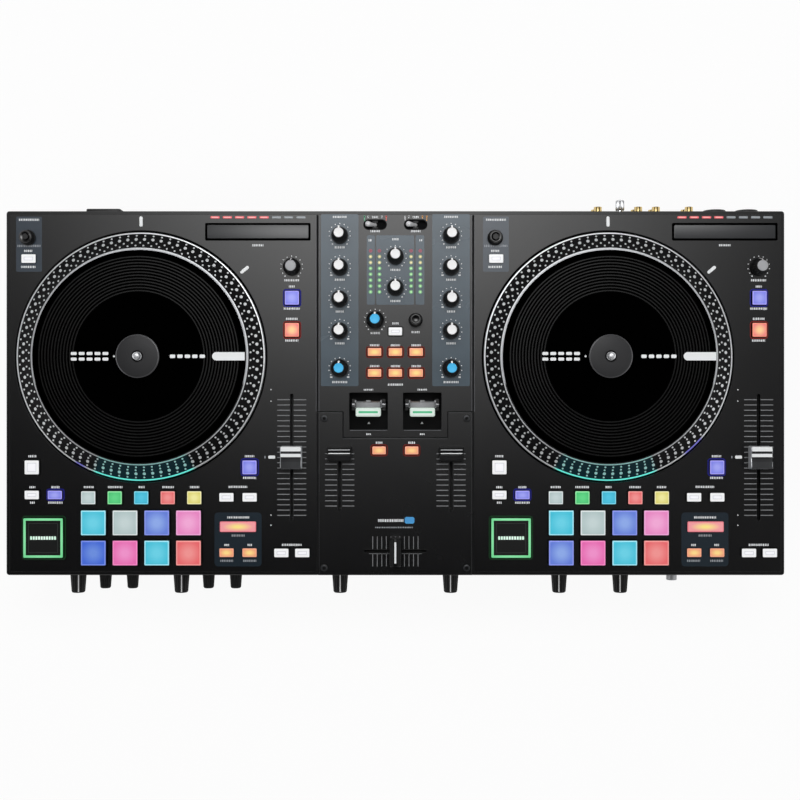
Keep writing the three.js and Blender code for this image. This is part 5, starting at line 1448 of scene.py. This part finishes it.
# Dials over a channel: row, its dial's lift, end marks and radius, and the drop and width of its dashes
CHANNEL_DIALS = [(294.7, 1.2, LEVEL_ENDS, 9.2, 10.3, 9)] + [
    (row, 0.6, FULL_ENDS, 9.4, 10.8, width) for row, width in ((267.1, 8), (239.5, 7), (211.9, 8))]
SOURCE_MARKS = {  # finishes of the five marks over a source switch
    -1: (INK_GREEN, INK, INK, INK, INK_RED), 1: (INK, INK, INK, INK_ORANGE, INK_ORANGE)}
SOURCE_SPOTS = ((-9.2, 4.6), (-5.9, 2.0), (0.0, 1.6), (5.9, 2.0), (9.6, 4.6))   # offset and depth of each
SOURCE_MARK_ROW = 310.6


def make_channel_print(shape, sign):
    column, source = sign * CHANNEL_COLUMN, sign * SOURCE_COLUMN
    dashes(shape, mixer_xy(column, 310.8), 12)
    for row, lift, ends, radius, drop, width in CHANNEL_DIALS:
        dial(shape, mixer_xy(column, row + lift), ends, radius)
        dashes(shape, mixer_xy(column, row - drop), width)
    dial(shape, mixer_xy(column, 179.3))
    dashes(shape, mixer_xy(column, 167.5), 13)
    for (offset, depth), finish in zip(SOURCE_SPOTS, SOURCE_MARKS[sign]):
        if offset == 0:
            dashes(shape, mixer_xy(source, SOURCE_MARK_ROW), 4.6, finish)
        else:
            shape.bar(*mixer_xy(source + offset, SOURCE_MARK_ROW - (depth - 2.0) / 3), 0.6, depth, finish)
            shape.bar(*mixer_xy(source + offset, 311.2), 1.3, 1.3, finish)
    window, cue = sign * WINDOW_COLUMN, sign * HEADPHONE_COLUMN
    for place, row, *look in ((source, 298.4, 8), (window, 160.9, 8, INK, 1.5),
                              (window, 122.3, 4, INK, 1.5), (cue, 114.9, 6), (source * 1.25, 290.5, 3)):
        dashes(shape, mixer_xy(place, row), *look)


def make_mixer_print():
    ink_shape = Shape()

    def words(column, row, *look):
        dashes(ink_shape, mixer_xy(column, row), *look)

    def scale_bar(column, row, width, depth):
        ink_shape.bar(*mixer_xy(column, row), width, depth, SCALE_INK)

    for sign in SIGNS:
        make_channel_print(ink_shape, sign)
    for row in (276.5, 249.4):
        dial(ink_shape, mixer_xy(0, row), PLAIN_ENDS)
        words(0, row - 11.6, 9)
    words(0, 291.4, 6)
    dial(ink_shape, mixer_xy(-17.5, 221.2), PLAIN_ENDS)
    words(-17.5, 210.0, 8)
    words(17.5, 210.9, 7)
    words(0, 218.4, 6)
    for step in (-1, 0, 1):
        for row in (199.4, 181.3):
            words(step * EFFECT_PITCH, row, 8)
    words(0, 165.3, 13)
    for sign in SIGNS:
        for number in range(11):
            for side in SIGNS:
                scale_bar(sign * CHANNEL_COLUMN + side * 7.5, 60.0 + number * CHANNEL_SCALE, 10.4, 0.75)
    for number in range(-5, 6):
        for low, high in ((22.6, 33.6), (7.6, 19.0)):
            scale_bar(number * CROSS_SCALE, (low + high) / 2, 0.6, high - low)
    scale_bar(0, 18.6, 46.0, 0.4)
    words(-4.0, 47.4, 22, INK, 2.4)
    words(-1.2, 41.4, 33, FAINT_INK, 1.2)
    ink_shape.bar(*mixer_xy(12.3, 47.6), 8.4, 5.8, BADGE_BLUE)
    ink_shape.build("mixer_print")


def make_plate_screws():
    screws = Shape()
    for column in (-61.8, 61.8):
        for row in (136.1, 6.3):
            screws.place = moved(*mixer_xy(column, row))
            screws.stack(
                (near(0, TOP, (3.5, -0.1), (3.5, 0.02), (3.1, 0.06), (2.9, 0.05)), RIM_BLACK, 32),
                (near(0, TOP, (2.9, 0.05), (2.6, 0.25), (1.9, 0.4), (1.5, 0.42)), STEEL, 32),
                (near(0, TOP, (1.5, 0.42), (1.4, 0.1)), PIT, 6))
    screws.build("fader_plate_screws")


def finish_inner_nodes():
    """The board and motors keep their CAD solids and get their finishes."""
    for name, material in (("control_board", BOARD), ("motor_left", MOTOR), ("motor_right", MOTOR)):
        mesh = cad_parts[name].data
        for number in range(len(mesh.materials)):
            mesh.materials[number] = material


# Floor, studio light and camera
WORLD_FILL = 0.32
FLOOR_WHITE = 0.92               # share of plain white where the floor is seen directly
FLOOR_REACH = 30.0
CARD_REACH, CARD_HEIGHT = 2.0, 1.3
CARD_MIDDLE, CARD_SPREAD, CARD_STRENGTH = (-0.022, 0.47), (0.345, 0.228), 5.85
LAMPS = (  # name, place, size, watts, seen in gloss
    ("left_box", (-1.3, -0.3, 1.5), (1.2, 1.2), 7.5, True),
    ("right_box", (1.3, -0.3, 1.5), (1.2, 1.2), 7.5, True),
    ("rear_box", (0.0, 0.75, 1.6), (1.2, 0.5), 12.0, False),
)
LAMP_AIM = (0, 0, 0.09)
LENS = 54.47
EYE = (0.0040, -0.00355, 1.145)


def empty_tree(block):
    block.use_nodes = True
    block.node_tree.nodes.clear()
    return block.node_tree


def white_light(tree, strength):
    return node(tree, "ShaderNodeEmission", {"Color": (1, 1, 1, 1), "Strength": strength}).outputs[0]


def seen(tree):
    """1 where a ray comes from the camera, in gloss or through glass, and 0 elsewhere."""
    rays = node(tree, "ShaderNodeLightPath").outputs
    direct = result(tree, "MAXIMUM", rays["Is Camera Ray"], rays["Is Glossy Ray"])
    return result(tree, "MAXIMUM", direct, rays["Is Transmission Ray"])


def sheet(name, reach, material):
    """A flat square that is no part of the object."""
    mesh = bpy.data.meshes.new(name)
    mesh.from_pydata([(-reach, -reach, 0), (reach, -reach, 0), (reach, reach, 0), (-reach, reach, 0)],
                     [], [(0, 1, 2, 3)])
    mesh.materials.append(material)
    made = link_new(name, mesh)
    return made


def make_stage():
    material = bpy.data.materials.new("floor_white")
    tree = empty_tree(material)
    tint = node(tree, "ShaderNodeMapRange", {"Value": grain(tree, 40), "To Min": 0.86, "To Max": 0.9})
    soft = node(tree, "ShaderNodeBsdfDiffuse", {"Color": tint.outputs[0]}).outputs[0]
    share = result(tree, "MULTIPLY", seen(tree), FLOOR_WHITE)
    blend = node(tree, "ShaderNodeMixShader", {0: share, 1: soft, 2: white_light(tree, 1.0)})
    node(tree, "ShaderNodeOutputMaterial", {"Surface": blend.outputs[0]})
    sheet("floor", FLOOR_REACH, material)

    world = bpy.data.worlds.new("studio")
    bpy.context.scene.world = world
    tree = empty_tree(world)
    fill = node(tree, "ShaderNodeMapRange", {"Value": seen(tree), "To Min": WORLD_FILL, "To Max": 1.0})
    sky = node(tree, "ShaderNodeBackground", {"Color": (1, 1, 1, 1), "Strength": fill.outputs[0]})
    node(tree, "ShaderNodeOutputWorld", {"Surface": sky.outputs[0]})


def make_lamps():
    for name, place, size, watts, in_gloss in LAMPS:
        light = bpy.data.lights.new(name, "AREA")
        light.shape = "RECTANGLE"
        light.size, light.size_y = size
        light.energy = watts
        lamp = link_new(name, light)
        lamp.location = place
        lamp.visible_glossy = in_gloss
        lamp.rotation_euler = (Vector(LAMP_AIM) - Vector(place)).to_track_quat("-Z", "Y").to_euler()


def make_graded_card():
    """A card above the object, seen in gloss alone: bright behind the middle and black elsewhere."""
    material = bpy.data.materials.new("card_graded")
    tree = empty_tree(material)
    place = node(tree, "ShaderNodeTexCoord").outputs["Object"]
    away = result(tree, "SUBTRACT", place, (*CARD_MIDDLE, 0), kind=VECTOR_MATH)
    scaled = result(tree, "DIVIDE", away, (*CARD_SPREAD, 1), kind=VECTOR_MATH)
    square = result(tree, "DOT_PRODUCT", scaled, scaled, kind=VECTOR_MATH, output="Value")
    fade = result(tree, "EXPONENT", result(tree, "MULTIPLY", square, -0.5))
    glow = white_light(tree, result(tree, "MULTIPLY", fade, CARD_STRENGTH))
    node(tree, "ShaderNodeOutputMaterial", {"Surface": glow})
    card = sheet("graded_card", CARD_REACH, material)
    card.location = (0, 0, CARD_HEIGHT)
    for kind in ("camera", "diffuse", "shadow", "transmission"):
        setattr(card, f"visible_{kind}", False)


def make_camera():
    camera = bpy.data.cameras.new("camera")
    camera.sensor_width = 36.0
    camera.lens = LENS
    camera.clip_start = 0.05
    camera.clip_end = 60.0
    bpy.context.scene.camera = link_new("camera", camera)
    bpy.context.scene.camera.location = EYE


for make in (make_camera, make_stage, make_lamps, make_graded_card, make_panel, make_wells, make_tray,
             make_feet, make_phonos, make_outputs, make_inlet, make_headphone_jack):
    make()
for side in SIDES:
    for make in (make_deck_keys, make_pads, make_platter, make_paddle, make_touch_strip, make_deck_print):
        make(side)
for make in (make_mixer_keys, make_panel_knobs, make_front_knobs, make_faders, make_windows,
             make_source_switches, make_printed_areas, make_mixer_print, make_plate_screws,
             finish_inner_nodes):
    make()
bpy.context.scene.view_settings.view_transform = "Standard"
